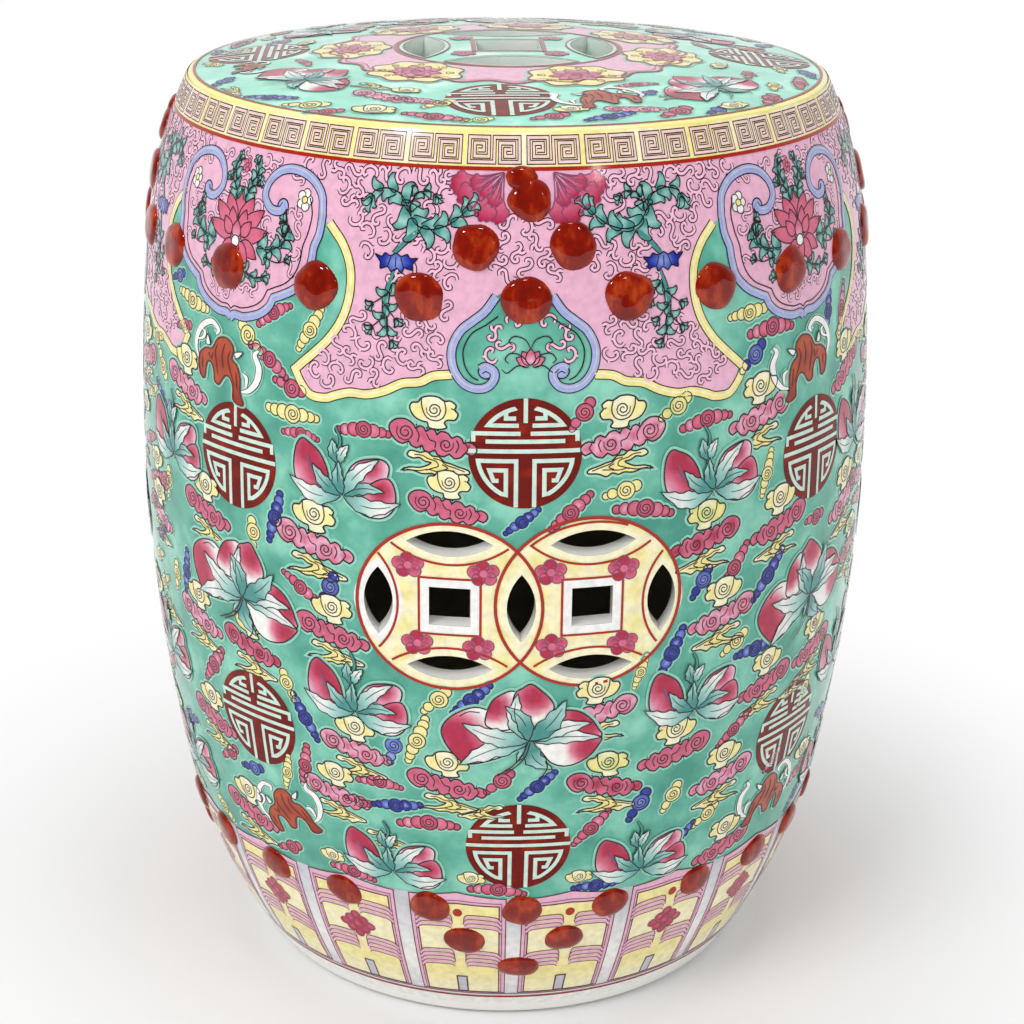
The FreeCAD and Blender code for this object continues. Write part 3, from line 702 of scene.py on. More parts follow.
def raiseEnamel():
    # makes the laid drawings into pieces, one for each layer of each surface
    for key in sorted(laid):
        surface, kind, level = key.split()
        store = laid[key]
        points, faces = np.vstack(store["points"]), np.vstack(store["faces"])
        lift = np.full(len(points), enamelForm["ground"] + enamelForm["layer"] * int(level))
        place, way = (wallPlace if surface == "wall" else seatPlace)(points[:, 0], points[:, 1], lift)
        mesh = bpy.data.meshes.new(key)
        mesh.vertices.add(len(place))
        mesh.vertices.foreach_set("co", (place / 1000.0).astype(np.float32).ravel())
        mesh.loops.add(faces.size)
        mesh.loops.foreach_set("vertex_index", faces.astype(np.int32).ravel())
        mesh.polygons.add(len(faces))
        mesh.polygons.foreach_set("loop_start", np.arange(0, faces.size, 3, dtype=np.int32))
        mesh.update(calc_edges=True)
        mesh.polygons.foreach_set("use_smooth", np.ones(len(faces), bool))
        chart = mesh.uv_layers.new(name="OFBake")
        if surface == "wall":
            uv = np.stack([(points[:, 0] + 140.0) / 460.0, points[:, 1] / 470.0], 1)
        else:
            uv = points / 330.0 + 0.5
        chart.data.foreach_set("uv", uv[faces.ravel()].astype(np.float32).ravel())
        if kind == "paint":
            tint = mesh.color_attributes.new("enamel", "FLOAT_COLOR", "POINT")
            tint.data.foreach_set("color", np.vstack(store["tones"]).astype(np.float32).ravel())
        mesh.normals_split_custom_set_from_vertices(way)
        piece = bpy.data.objects.new(key, mesh)
        bpy.context.collection.objects.link(piece)
        finish = {"paint": "painted", "ink": "ink", "iron": "iron"}[kind]
        keep(piece, "%s_%s%s" % (surface, kind, level), finish)
        print("enamel", key, len(faces))


# fields and borders of the wall
quarters = (0.0, 90.0, 180.0, 270.0)
halves = (0.0, 180.0)
degree = enamelForm["perDegree"]  # mm of the flat sheet to a degree of the wall


def wide(points):
    # points given as (degrees, height) on the flat sheet of the wall
    return np.array(points, float) * [degree, 1.0]


def ringLine(z, count=46):
    return wide([(a, z) for a in np.linspace(-45, 45, count)])


lappetEdge = [(28.9, 418.5), (26.4, 410.5), (25.0, 401.0), (24.9, 390.0), (25.9, 379.0), (27.9, 369.3),
              (30.4, 361.5), (32.0, 357.0), (33.3, 353.2)]
lappetFoot = [(33.3, 353.2), (32.2, 347.5), (30.6, 342.8), (28.2, 342.6), (26.8, 344.3), (24.5, 346.6),
              (22.0, 346.8), (19.4, 349.2), (16.8, 353.3), (14.3, 354.6), (12.4, 357.6), (9.9, 358.6)]
notchEdge = [(9.6, 360.0), (10.0, 369.5), (8.8, 377.6), (7.0, 382.4), (5.6, 386.0), (4.4, 392.0), (2.0, 396.0)]


keyPath = [(-8.2, -0.2), (-5.2, -0.2), (-5.2, 2.5), (-9.6, 2.5), (-9.6, -2.6), (-2.7, -2.6), (-2.7, 4.8),
           (-12.2, 4.8), (-12.2, -4.8), (0.0, -4.8)]


def keyBand():
    # interlocked square keys in pink under the seat's edge, ten to each quarter
    art = []
    edge = even(wide([(-45.0, 445.2), (45.0, 445.2), (45.0, 458.9), (-45.0, 458.9), (-45.0, 445.2)]))[:-1]
    paint(art, [edge], lambda p: blend(("yellow", "paleYellow", "yellow"), 0.5 + 0.5 * np.sin(p[:, 0] * 0.05)),
          0, 4.0)
    unit = np.array(keyPath + [(-x, -z) for x, z in keyPath[::-1]])
    for a in np.arange(-40.5, 45.0, 9.0):
        tube(art, even(unit + [a * degree, 452.0]), 1.1, "shellPink", 0.45, 1)
    line(art, ringLine(444.6), 1.5, "red")
    lay("wall", art, raw=True, copies=quarters)


def curlEye(art, a, z):
    # the round middle of a lavender curl
    dot = disc(3.3, 13, a * degree, z)
    paint(art, [dot], "lavender", 1, 3.0)
    line(art, dot, closed=True)


def collar():
    # the pink lappets, joined above the cloud heads, with their yellow borders
    art = []
    right = np.vstack([smooth(wide(lappetEdge)), smooth(wide(lappetFoot))[1:], smooth(wide(notchEdge))])
    loop = np.vstack([ringLine(445.6, 60), wide([(45.0, 436.0), (45.0, 428.0), (38.0, 424.0), (32.0, 421.0)]),
                      right, (right * [-1, 1])[::-1],
                      wide([(-32.0, 421.0), (-38.0, 424.0), (-45.0, 428.0), (-45.0, 436.0)])])
    paint(art, [loop], lambda p: blend(("pink", "pink", "deepPink"),
            0.25 + 0.25 * np.sin(p[:, 0] * 0.11 + 1.0) * np.sin(p[:, 1] * 0.13)), 0, 5.0)
    for hand in (1.0, -1.0):
        side = np.vstack([smooth(wide(lappetEdge)), smooth(wide(lappetFoot))[1:]]) * [hand, 1.0]
        tube(art, side, 3.6, "yellow", 0.5, 1)
        line(art, side + [-hand * 0.2, 0.3], 0.8, "paleYellow")
    lay("wall", art, raw=True, copies=quarters)
    scroll = []
    path = wide([(3.9, 393.0), (5.4, 386.5), (7.0, 382.4), (8.8, 377.6), (9.9, 370.0), (9.7, 362.0),
                 (8.5, 355.8), (6.8, 353.0), (5.1, 353.6), (4.1, 357.0), (4.1, 360.6), (5.2, 362.6),
                 (6.0, 361.4)])
    inner = wide([(3.6, 384.5), (5.3, 380.6), (7.2, 376.8), (8.3, 370.0), (8.1, 363.0), (7.2, 358.4),
                  (6.2, 356.6)])
    line(scroll, smooth(inner))
    curlEye(scroll, 5.2, 360.6)
    tube(scroll, smooth(path), 3.4, "lavender", 0.5, 3)
    # the pale slate line set a little up along the lavender band is a painted highlight
    line(scroll, smooth(path) + [0.3, 0.6], 0.9, "slate", level=6, ends=0.5)
    lay("wall", scroll, raw=True, copies=quarters)
    lay("wall", scroll, raw=True, flip=True, copies=quarters)


ruyiSide = [(-15.8, 421.0), (-15.6, 413.5), (-14.9, 407.5), (-14.7, 402.0), (-14.0, 394.5), (-12.1, 388.3),
            (-9.9, 384.6), (-8.4, 382.6)]
ruyiFoot = [(-8.4, 382.6), (-7.6, 378.2), (-5.8, 374.0), (-2.9, 371.0), (-0.9, 371.0), (0.0, 369.2)]
ruyiCurl = [(-15.8, 421.0), (-15.2, 429.5), (-13.0, 435.6), (-9.9, 438.0), (-7.2, 436.6), (-5.3, 431.6),
            (-4.9, 425.2), (-6.4, 420.4), (-8.2, 420.2), (-8.9, 422.6)]


def ruyiHeads():
    # the cloud-shaped heads between the lappets, each in a lavender band
    art = []
    half = np.vstack([smooth(wide([(-5.0, 441.0), (-9.9, 440.0), (-13.2, 437.2), (-15.8, 430.5)]))[:-1],
                      smooth(wide(ruyiSide))[:-1], smooth(wide(ruyiFoot))])
    loop = np.vstack([half, (half * [-1, 1])[::-1][1:]])
    paint(art, [loop], lambda p: blend(("pink", "pink", "deepPink"),
            0.3 + 0.3 * np.sin(p[:, 0] * 0.2) * np.sin(p[:, 1] * 0.17 + 1.0)), 1, 5.0)
    for hand in (1.0, -1.0):
        band = np.vstack([smooth(wide(ruyiCurl[::-1]))[:-1], smooth(wide(ruyiSide))[:-1],
                          smooth(wide(ruyiFoot))]) * [hand, 1.0]
        inner = np.vstack([smooth(wide([(-13.3, 427.5), (-14.0, 421.0), (-13.7, 413.5), (-13.0, 407.0),
                (-12.8, 401.5), (-12.1, 395.5), (-10.6, 390.4), (-8.6, 387.4), (-7.2, 385.4)]))[:-1],
                smooth(wide([(-7.2, 385.4), (-6.4, 381.0), (-4.9, 377.4), (-2.4, 374.8), (-0.8, 374.8),
                             (0.0, 373.2)]))]) * [hand, 1.0]
        line(art, inner)
        curlEye(art, -8.6 * hand, 422.2)
        tube(art, band, 3.4, "lavender", 0.5, 3)
        # the pale slate line set a little up along the lavender band is a painted highlight
        line(art, band + [0.3 * hand, 0.6], 0.9, "slate", level=6, ends=0.5)
    for x in (46.3, -46.0):
        lay("wall", art, x, 0.0, raw=True, copies=halves)


def fretRoundel():
    # a round medallion of bars and square keys, an old ornament for jars and stools
    art, gap = [], 1.9
    paint(art, [disc(25.0, 80)], "iron", 1, 5.0)

    def cut(points):
        line(art, even(points), gap, "aqua")

    def rim(radius, start, end, count=9):
        turns = np.radians(np.linspace(start, end, count))
        return [(radius * math.cos(t), radius * math.sin(t)) for t in turns]

    cut([(0.0, 25.0), (0.0, 14.0)])
    cut([(-24.9, 1.2), (24.9, 1.2)])
    cut([(-17.4, 5.6), (17.4, 5.6)])
    for hand in (1.0, -1.0):
        upper = [(4.2, 16.0), (8.6, 16.0), (8.6, 18.6)]
        arch = [(4.2, 20.6)] + rim(20.9, 78, 38) + [(3.0, 12.8)]
        bar = [(2.2, 9.2), (22.8, 9.2), (22.8, 5.4)]
        key = [(4.0, -24.4), (4.0, -3.2), (20.6, -3.2)] + rim(20.9, -12, -60, 8)
        key += [(8.4, -18.6), (8.4, -7.4), (15.6, -7.4), (13.8, -12.2), (11.6, -12.2)]
        for path in (upper, arch, bar, key):
            cut(np.array(path) * [hand, 1.0])
    return art


def roundels():
    art = fretRoundel()
    for x, z in ((0.3, 324.0), (0.2, 122.5), (-44.3, 305.5), (49.4, 304.0), (-43.4, 171.0), (49.6, 155.0)):
        lay("wall", art, x, z, turn=0.0 if abs(x) < 40 else (-1.0 if x > 0 else 0.6), copies=halves)


def coinPanel():
    # painting round the pierced pair of coins, drawn as (across, up) in front of the wall
    art, mid = [], coinForm["height"]
    coins = ((41.6, -32.0, mid - 0.6), (42.2, 30.5, mid + 1.4))
    ring = [disc(radius, 64, x, y, 0.975) for radius, x, y in coins]
    inside = [disc(radius - 1.2, 64, x, y, 0.975) for radius, x, y in coins]
    holes = [np.array(h) for h in coinHoles()]

    def spread(loop, grow):
        c = loop.mean(0)
        away = loop - c
        far = np.linalg.norm(away, axis=1)[:, None]
        return c + away * (far + grow) / far

    def yellowish(p):
        return blend(("yellow", "paleYellow", "yellow"),
                     0.5 + 0.5 * np.sin(p[:, 0] * 0.21) * np.sin(p[:, 1] * 0.19))

    left, right = ring[0][~isInside(ring[0], [ring[1]])], ring[1][~isInside(ring[1], [ring[0]])]
    left = left[np.argsort(np.arctan2(left[:, 1] - mid, left[:, 0] + 32.0) % math.tau)]
    gaps = np.linalg.norm(np.diff(np.vstack([right, right[:1]]), axis=0), axis=1)
    right = np.roll(right, -int(np.argmax(gaps)) - 1, 0)
    rims = [spread(h, 0.05) for h in holes]
    paint(art, [np.vstack([left, right])] + rims, yellowish, 0, 4.0)
    for number, hole in enumerate(holes):
        c = hole.mean(0)
        if number in (0, 4):
            square = np.array(squareOutline(27.5)) + c
            paint(art, [square, rims[number]], "white", 1, 4.0)
            line(art, square, 1.1, "red", True, 3)
            continue
        if number != 8:
            size = (50.0, 20.5) if number in (3, 7) else (56.0, 20.0)
            lens = np.array(lensOutline(*size, upright=number in (3, 7), count=26)) + c
            lens += [{3: -1.5, 7: 1.5}.get(number, 0.0), 0.0]
            lens = lens[isInside(lens, [inside[number > 3]])]
            if len(lens) > 8:
                line(art, lens, 1.1, "red", False, 3)
        tone, grow = ("white", 4.6) if number == 3 else ("paleYellow", 3.6)
        paint(art, [spread(hole, grow), rims[number]], tone, 1, 4.0)
    for loop in ring:
        line(art, loop, 1.5, "red", True, 4)
    blossom = []
    for i in range(5):
        a = math.tau * i / 5 + 0.4
        c = (3.3 * math.cos(a) * 1.25, 3.1 * math.sin(a))
        tones = ("rose", "crimson", "crimson") if i % 2 else ("crimson", "crimson", "rose")
        paint(blossom, [disc(2.9, 12, *c)], glow(c, 3.0, tones), 2, 3.0)
        line(blossom, disc(2.9, 12, *c), 0.45, "mauve", True, 3)
    paint(blossom, [disc(1.7, 10)], "rose", 4, 2.0)
    for x, z in ((-50.5, 270.0), (-17.0, 268.0), (-46.5, 232.0), (-19.0, 231.0), (13.0, 268.5), (46.0, 268.0),
                 (14.0, 232.0), (46.5, 231.0)):
        art += shifted(blossom, x, z, size=1.05)
    onWall = []
    for kind, level, points, faces, tones in art:
        a = np.degrees(np.arcsin(points[:, 0] / wallRadius(points[:, 1])))
        onWall.append((kind, level, np.stack([a * degree, points[:, 1]], 1), faces, tones))
    lay("wall", onWall, raw=True, copies=halves)


footForm = {"count": 19, "turn": -0.2, "gap": 1.35, "low": 21.0, "border": 3.6, "waves": ((70.0, 3), (42.0, 4)),
            "waveStep": 2.9}


def footAngle(number):
    return (number + 0.5) * 360.0 / footForm["count"] + footForm["turn"]


def footPanels():
    # the ring of arched panels above the foot
    art, pitch, low = [], 360.0 / footForm["count"], footForm["low"]
    w = (pitch / 2.0 - footForm["gap"]) * degree

    def arch(half, low, high, rise, n):
        t = np.linspace(-1, 1, n)
        top = np.stack([t * half, high + rise * (1 - np.abs(t)) ** 1.6], 1)[::-1]
        left = np.stack([np.full(6, -half), np.linspace(high, low, 7)[1:]], 1)
        base = np.stack([np.linspace(-half, half, 8)[1:-1], np.full(6, low)], 1)
        right = np.stack([np.full(6, half), np.linspace(low, high, 7)[:-1]], 1)
        return np.vstack([top, left, base, right])

    side = pitch / 2 * degree
    stripe = np.array([(-side, 20.0), (side, 20.0), (side, 91.0), (-side, 91.0)])
    edge = np.vstack([np.linspace(a, b, 12, endpoint=False) for a, b in zip(stripe, np.roll(stripe, -1, 0))])
    paint(art, [edge], lambda p: blend(("slate", "white", "slate"), p[:, 1] / 90.0), 0)
    border = arch(w, low - 0.5, 90.5, 3.4, 21)
    paint(art, [border], "pink", 1)
    line(art, border, 0.55, "brownInk", True, 3)
    inner = w - footForm["border"]
    field = arch(inner, low, 85.5, 1.2, 13)
    paint(art, [field], lambda p: blend(("yellow", "paleYellow", "yellow"), p[:, 1] / 40.0 % 1.0), 2)
    line(art, field, 0.7, "brownInk", True, 3)
    line(art, arch(inner + 1.4, low, 87.3, 1.4, 13), 0.45, "mauve", True, 3)
    wave = np.array([(inner + 1.0, -2.0), (inner - 2.2, 0.9), (8.6, 2.0), (4.6, 1.5), (3.6, 0.4)])
    for hand in (1.0, -1.0):
        for z, rows in footForm["waves"]:
            for i in range(rows):
                path = smooth(wave * [hand, 1.0] + [0.0, z + i * footForm["waveStep"]], per=4)
                line(art, path, 1.8, "pink")
                line(art, path + [0.0, -1.2], 0.45, "brownInk", level=4)
            top = z + rows * footForm["waveStep"]
            last = [(inner + 1.0, top - 3.2), (inner - 2.2, top - 0.4), (8.6, top + 0.7), (4.0, top - 0.2),
                    (3.0, z + 3.0)]
            stroke(art, np.array(last) * [hand, 1.0], 0.5, 4, tone="brownInk")
    slot = np.array([(-3.0, 21.2), (3.0, 21.2), (3.0, 33.6), (-3.0, 33.6)])
    paint(art, [slot], "slate", 3, 4.0)
    line(art, slot, 1.0, "brownInk", True, 4)
    paint(art, [disc(2.6, 14, 0.0, 80.6)], "red", 3, 3.0)
    for i in range(footForm["count"]):
        lay("wall", art, footAngle(i), 0.0, raw=True)
    rings = []
    for z, width, tone in ((19.4, 0.9, "mauve"), (16.8, 1.6, "rust")):
        line(rings, ringLine(z), width, tone)
    lay("wall", rings, raw=True, copies=quarters)
    foot = []
    paint(foot, [np.vstack([ringLine(9.6, 50), ringLine(20.4, 50)[::-1]])], "white", 0, 4.0)
    lay("wall", foot, raw=True, copies=quarters)


keyBand()
collar()
ruyiHeads()
roundels()
coinPanel()
footPanels()
print("fields and borders drawn")


# motifs, drawn once in mm and laid many times
def visible(loop, covers):
    # runs of a closed line that no later shape covers
    p = np.vstack([loop, loop[:1]])
    fine = np.vstack([np.linspace(a, b, max(int(np.hypot(*(b - a)) / 0.8), 1), endpoint=False)
                      for a, b in zip(p[:-1], p[1:])])
    hidden = np.zeros(len(fine), bool)
    for cover in covers:
        hidden |= isInside(fine, [cover])
    if not hidden.any():
        return [(loop, True)]
    if hidden.all():
        return []
    start = int(np.argmax(hidden))
    fine, hidden = np.roll(fine, -start, 0), np.roll(hidden, -start)
    runs, run = [], []
    for point, out in zip(np.vstack([fine, fine[:1]]), list(~hidden) + [False]):
        if out:
            run.append(point)
        elif run:
            runs.append(run)
            run = []
    return [(np.array(r), False) for r in runs if len(r) > 2]


def stacked(art, shapes, level=1, step=5.0, width=None, rim="ink"):
    # overlapping shapes, last on top, as one flat picture with dark outlines
    loops = [np.asarray(loop, float) for loop, tone in shapes]
    points = np.vstack(loops)
    low, high = points.min(0), points.max(0)
    gx, gy = np.meshgrid(np.arange(low[0] + step / 2, high[0], step),
                         np.arange(low[1] + step / 2, high[1], step))
    grid = np.stack([gx.ravel(), gy.ravel()], 1)
    near = np.min(np.linalg.norm(grid[:, None] - points[None], axis=2), axis=1) if len(grid) else np.zeros(0)
    corners, faces = triangles(np.vstack([points, grid[near > step * 0.4]]), ringEdges(loops), 1e-6)
    owner, middles = np.full(len(faces), -1), corners[faces].mean(1)
    for number, loop in enumerate(loops):
        owner[isInside(middles, [loop])] = number
    for number, (loop, tone) in enumerate(shapes):
        mine = faces[owner == number]
        if len(mine):
            used, rows = np.unique(mine, return_inverse=True)
            art.append((kindOf(tone), level, corners[used], rows.reshape(-1, 3), tonesAt(corners[used], tone)))
        for run, closed in visible(loops[number], loops[number + 1:]):
            line(art, run, width, rim, closed, level + 2)


def glows(spots, reach, tones):
    # blend from the first tone near any of the spots to the last one away from them
    def work(p):
        near = np.full(len(p), 1e9)
        for x, y in spots:
            near = np.minimum(near, np.hypot(p[:, 0] - x, p[:, 1] - y))
        return blend(tones, near / reach)
    return work


def sweep(start, end, tones):
    # blend along the way from start to end
    start, way = np.array(start, float), np.array(end, float) - start
    return lambda p: blend(tones, (p - start) @ way / (way @ way))


def halo(art, loop, width=2.8):
    # the pale edge that the ground keeps round a painted shape
    line(art, loop, width, "paleTurquoise", True, 0)


bankTones = {
    "rose": ("crimson", "rose", "deepPink", "rose"), "pink": ("deepPink", "rose", "pink", "rose"),
    "red": ("crimson", "crimson", "deepPink", "rose"),
}
bankLoop = smooth([(-17.6, 2.0), (-17.4, 5.0), (-14.6, 7.2), (-10.6, 7.4), (-7.6, 5.6), (-6.4, 3.8),
                   (-5.0, 5.0), (-3.0, 4.4), (-2.2, 2.8), (-0.6, 4.0), (1.6, 3.6), (2.4, 1.8), (4.0, 3.2),
                   (7.0, 2.6), (8.6, 0.6), (10.6, 1.6), (12.8, 0.4), (13.4, -1.4), (15.6, -0.8), (18.2, -2.2),
                   (18.8, -4.6), (16.8, -6.6), (14.2, -5.4), (12.6, -7.2), (9.6, -8.0), (7.6, -6.2),
                   (5.4, -7.4), (2.6, -6.6), (1.6, -4.8), (-0.8, -6.0), (-3.0, -5.0), (-3.8, -3.2),
                   (-6.0, -4.4), (-8.4, -3.4), (-9.4, -1.8), (-12.0, -3.0), (-15.2, -1.6)], True, 2)
puffTop = [(-10.0, 0.6), (-9.2, 3.0), (-6.6, 3.4), (-5.2, 5.2), (-2.2, 6.2), (1.6, 6.0), (4.4, 4.4), (6.8, 4.6),
           (9.2, 2.8), (8.6, 1.0), (10.0, -0.8), (8.8, -3.2), (5.8, -3.4)]
puffNeck = [(4.4, -4.6), (5.4, -6.6), (2.2, -7.4), (-1.8, -7.0), (-2.6, -4.8), (-4.6, -4.4), (-8.0, -2.8)]
puffBase = [(2.6, -4.8), (-1.0, -5.0), (-4.2, -4.4), (-8.0, -2.8)]
puffYellow = ("yellow", "yellow", "paleYellow", "paleYellow")
wispLoop = smooth([(-12.0, 3.4), (-10.4, 5.4), (-6.6, 4.8), (-3.8, 5.4), (-1.4, 3.6), (1.4, 3.4), (3.6, 1.4),
                   (6.0, 0.8), (9.2, -0.4), (13.4, -1.8), (13.6, -3.4), (9.4, -3.8), (6.0, -5.2), (3.4, -3.8),
                   (0.8, -4.6), (-1.6, -3.8), (-5.6, -4.2), (-9.8, -3.0), (-14.4, -3.4), (-11.0, -1.8),
                   (-6.6, -1.6), (-3.4, -0.4), (-2.0, 0.8), (-4.4, 1.2), (-6.8, 2.6), (-9.4, 2.2)], True, 3)


def bank(tones="rose"):
    art = []
    halo(art, bankLoop)
    stacked(art, [(bankLoop,
                   glows(((-13.0, 3.6), (-3.4, 0.4), (5.0, -2.0), (15.4, -3.6)), 5.4, bankTones[tones]))], 1,
                   2.6)
    line(art, curl(-10.8, 1.9, 4.0, 2.0, 2.6), 0.5, ends=0.7)
    line(art, curl(6.2, -2.4, 3.2, 1.7, 0.4, -1.0), 0.5, ends=0.7)
    for path in ([(-6.2, 3.6), (-5.0, 1.0), (-5.6, -1.8)],
                 [(-2.0, 2.0), (-0.4, -0.6), (1.8, -1.4), (1.6, -4.0)],
                 [(10.4, -0.2), (11.4, -2.6), (10.2, -5.6)], [(14.2, -1.6), (15.2, -3.6), (14.0, -5.4)]):
        stroke(art, path, 0.45)
    return art


def puff(tones=puffYellow, neck=True):
    art = []
    loop = smooth(puffTop + (puffNeck if neck else puffBase), True, 3)
    halo(art, loop)
    stacked(art, [(loop, glows(((-6.5, 0.0), (6.5, -0.5)), 7.0, tones))], 4, 3.4)
    line(art, curl(0.2, 0.6, 3.4, 2.0, 2.9), 0.5, level=6, ends=0.7)
    stroke(art, [(-5.2, 5.0), (-4.9, 1.4), (-3.0, -2.6), (0.6, -3.9), (3.6, -2.8), (5.0, 0.4), (4.4, 4.2)], 0.5,
           6)
    stroke(art, [(8.4, 1.0), (7.2, 1.6)], 0.45, 6, per=3)
    return art


def wisp():
    art = []
    halo(art, wispLoop)
    stacked(art, [(wispLoop, sweep((-12, 3), (12, -3), ("paleYellow", "yellow", "yellow", "paleYellow")))], 1,
            4.0)
    for path in ([(-9.0, 3.8), (-5.6, 3.6), (-3.2, 2.4), (0.2, 1.4), (1.0, -0.6), (-1.4, -1.6), (-4.0, -2.6)],
                 [(2.6, 0.2), (5.0, -1.2), (2.8, -2.4), (7.6, -2.2)],
                 [(-12.0, -2.8), (-7.0, -3.0), (-3.0, -2.2), (0.0, -2.8), (3.4, -2.6)],
                 [(-1.0, 2.6), (2.0, 2.0), (4.2, 0.2), (8.0, -1.0), (12.0, -2.4)]):
        stroke(art, path, 0.45)
    return art


def stretched(art, across, up):
    return [(kind, level, points * [across, up], faces, tones) for kind, level, points, faces, tones in art]


def cloud(tones="rose", yellow=puffYellow, under=True):
    # a yellow puff on a rose bank, with a yellow wisp trailing below
    return (shifted(wisp(), 2.0, -11.0) if under else []) + bank(tones) + shifted(puff(yellow), 1.0, 11.5)


def chain(lumps, tones):
    # a row of round puffs that dwindle from a curled head
    art, shapes = [], []
    order = sorted(range(len(lumps)), key=lambda i: lumps[i][2])
    for i in order:
        x, y, r = lumps[i]
        loop = disc(r, 16, x, y)
        halo(art, loop, 2.6)
        shapes.append((loop, glow((x, y), r * 1.1, tones[i % len(tones)])))
    stacked(art, shapes, 1, 2.6, 0.5)
    x, y, r = lumps[order[-1]]
    line(art, curl(x, y, r * 0.72, 1.9, 2.6), 0.5, ends=0.7)
    return art


blueTones = (("sky", "cobalt", "cobalt"), ("lavender", "cobalt", "cobalt"), ("lavender", "sky", "cobalt"))
paleBlue = (("lavender", "sky", "sky"), ("slate", "lavender", "sky"))
roseTones = (("rose", "deepPink", "crimson"), ("pink", "rose", "deepPink"), ("rose", "rose", "crimson"))
yellowTones = (("paleYellow", "yellow", "yellow"),)
limeTones = (("paleYellow", "yellow", "lime"), ("yellow", "yellow", "lime"))
longRow = ((-12.4, -3.2, 1.9), (-9.4, -2.2, 2.5), (-5.4, -1.0, 3.2), (0.0, 0.0, 4.4), (5.2, 1.6, 3.6),
           (9.6, 2.8, 2.9), (13.0, 4.0, 2.2))
shortRow = ((-9.6, -3.4, 1.9), (-6.6, -2.0, 2.6), (0.0, 0.0, 4.6), (4.8, 2.6, 3.0))
flatRow = ((-13.6, -0.8, 2.4), (-9.4, -0.2, 3.2), (-4.4, 0.2, 3.9), (1.2, 0.4, 4.6), (6.8, -0.2, 3.8),
           (11.4, -0.9, 2.9), (15.0, -1.8, 2.1))


def leafLoop(length, width, turn, bend, x, y):
    # outline and rib of a wavy leaf, from its stem end out
    t = np.linspace(0, 1, 13)
    body = np.sin(np.pi * t ** 0.8) ** 0.85
    middle = bend * length * np.sin(np.pi * t)
    upper = np.stack([t * length, middle + width / 2.0 * (body + 0.16 * np.sin(t * 22.0) * np.sin(np.pi * t))],
                     1)
    lower = np.stack([t * length, middle - width / 2.0 * (body + 0.16 * np.cos(t * 25.0) * np.sin(np.pi * t))],
                     1)
    loop, rib = np.vstack([upper, lower[-2:0:-1]]), np.stack([t * length, middle], 1)[4:-2]
    return turnedBy(loop, turn, x, y), turnedBy(rib, turn, x, y)


def leafStar(art, leaves):
    # leaves given as (length, width, turn, bend, teal, x, y), last on top
    shapes, ribs = [], []
    for length, width, turn, bend, teal, x, y in leaves:
        loop, rib = leafLoop(length, width, turn, bend, x, y)
        end = loop[np.argmax(np.hypot(*(loop - [x, y]).T))]
        tones = ("leaf", "leaf", "paleLeaf", "paleLeaf") if teal else ("leaf", "paleLeaf", "white", "paleLeaf")
        shapes.append((loop, sweep((x, y), end, tones)))
        ribs.append(rib)
    stacked(art, shapes, 6, 4.0, 0.45)
    for rib in ribs:
        line(art, rib, 0.36, level=8, ends=0.5)


def peachCluster():
    # four ripe peaches round a star of leaves
    left = smooth([(-39.2, 4.1), (-37.8, -1.7), (-33.4, -8.4), (-27.9, -12.8), (-18.2, -10.8), (-8.1, -6.4),
                   (-1.0, -0.6), (-8.0, 7.0), (-17.5, 15.0), (-24.2, 17.0), (-32.0, 13.8), (-37.2, 9.0)], True,
                   3)
    small = smooth([(-18.7, 7.4), (-19.4, 11.9), (-16.8, 20.0), (-12.2, 24.0), (-6.7, 25.4), (-4.6, 18.0),
                    (-5.6, 8.0), (-12.0, 5.4)], True, 3)
    top = smooth([(-6.7, 24.0), (-3.2, 27.0), (0.6, 29.0), (5.2, 25.4), (9.0, 21.2), (10.8, 16.6), (8.0, 9.0),
                  (1.4, 2.0), (-4.4, 6.4), (-7.6, 14.4)], True, 3)
    upper = smooth([(1.0, 1.6), (4.8, 8.4), (10.3, 12.9), (16.7, 15.0), (23.2, 13.4), (28.2, 9.0), (31.0, 4.6),
                    (33.0, 0.0), (24.0, -0.6), (12.0, -0.8)], True, 3)
    lower = smooth([(2.0, -0.4), (12.0, 0.2), (24.0, 0.6), (33.0, -0.2), (31.4, -5.4), (27.3, -10.4),
                    (21.3, -13.6), (15.4, -14.2), (10.0, -11.8), (6.0, -6.4)], True, 3)
    art = []
    for loop in (left, small, top, upper, lower):
        halo(art, loop, 3.0)
    ripe = ("crimson", "crimson", "rose", "white", "white", "white")
    stacked(art, [(left, glows(((-33.0, 3.0), (-30.0, -5.0)), 26.0, ripe)),
                  (small, glow((-15.5, 17.5), 17.0, ripe)),
                  (upper, glows(((22.0, 12.0), (27.0, 6.0)), 17.0, ripe)),
                  (lower, glow((27.0, -5.4), 19.0, ripe)), (top, glow((2.2, 22.5), 19.0, ripe))], 3, 3.0, 0.6)
    stroke(art, [(-31.0, 12.0), (-27.0, 14.6), (-22.0, 14.4)], 0.45, 5, per=3)
    leafStar(art, ((12.0, 5.0, 243.0, 0.05, 1, 0, 0), (34.0, 9.4, 203.0, -0.06, 0, 0, 0),
                   (31.0, 8.6, 164.0, 0.08, 0, 0, 0), (33.0, 6.6, -1.0, 0.05, 0, 0, 0),
                   (29.0, 7.6, 15.0, 0.07, 0, 0, 0), (19.0, 8.4, -55.0, -0.18, 1, 0, 0),
                   (25.0, 7.6, 102.0, 0.15, 0, 0, 0), (26.0, 9.0, 51.0, -0.08, 1, 0, 0),
                   (21.0, 7.2, 121.0, -0.14, 1, 0, 0)))
    for path in ([(-0.5, -1.0), (-2.6, -7.0), (-7.0, -13.0), (-14.0, -18.5)],
                 [(0.5, -1.0), (-1.0, -7.0), (-4.0, -12.0), (-10.5, -17.6)],
                 [(7.6, -11.0), (8.6, -14.0), (7.4, -17.6), (5.0, -20.4)]):
        stroke(art, path, 0.6, 8, per=5)
    return art


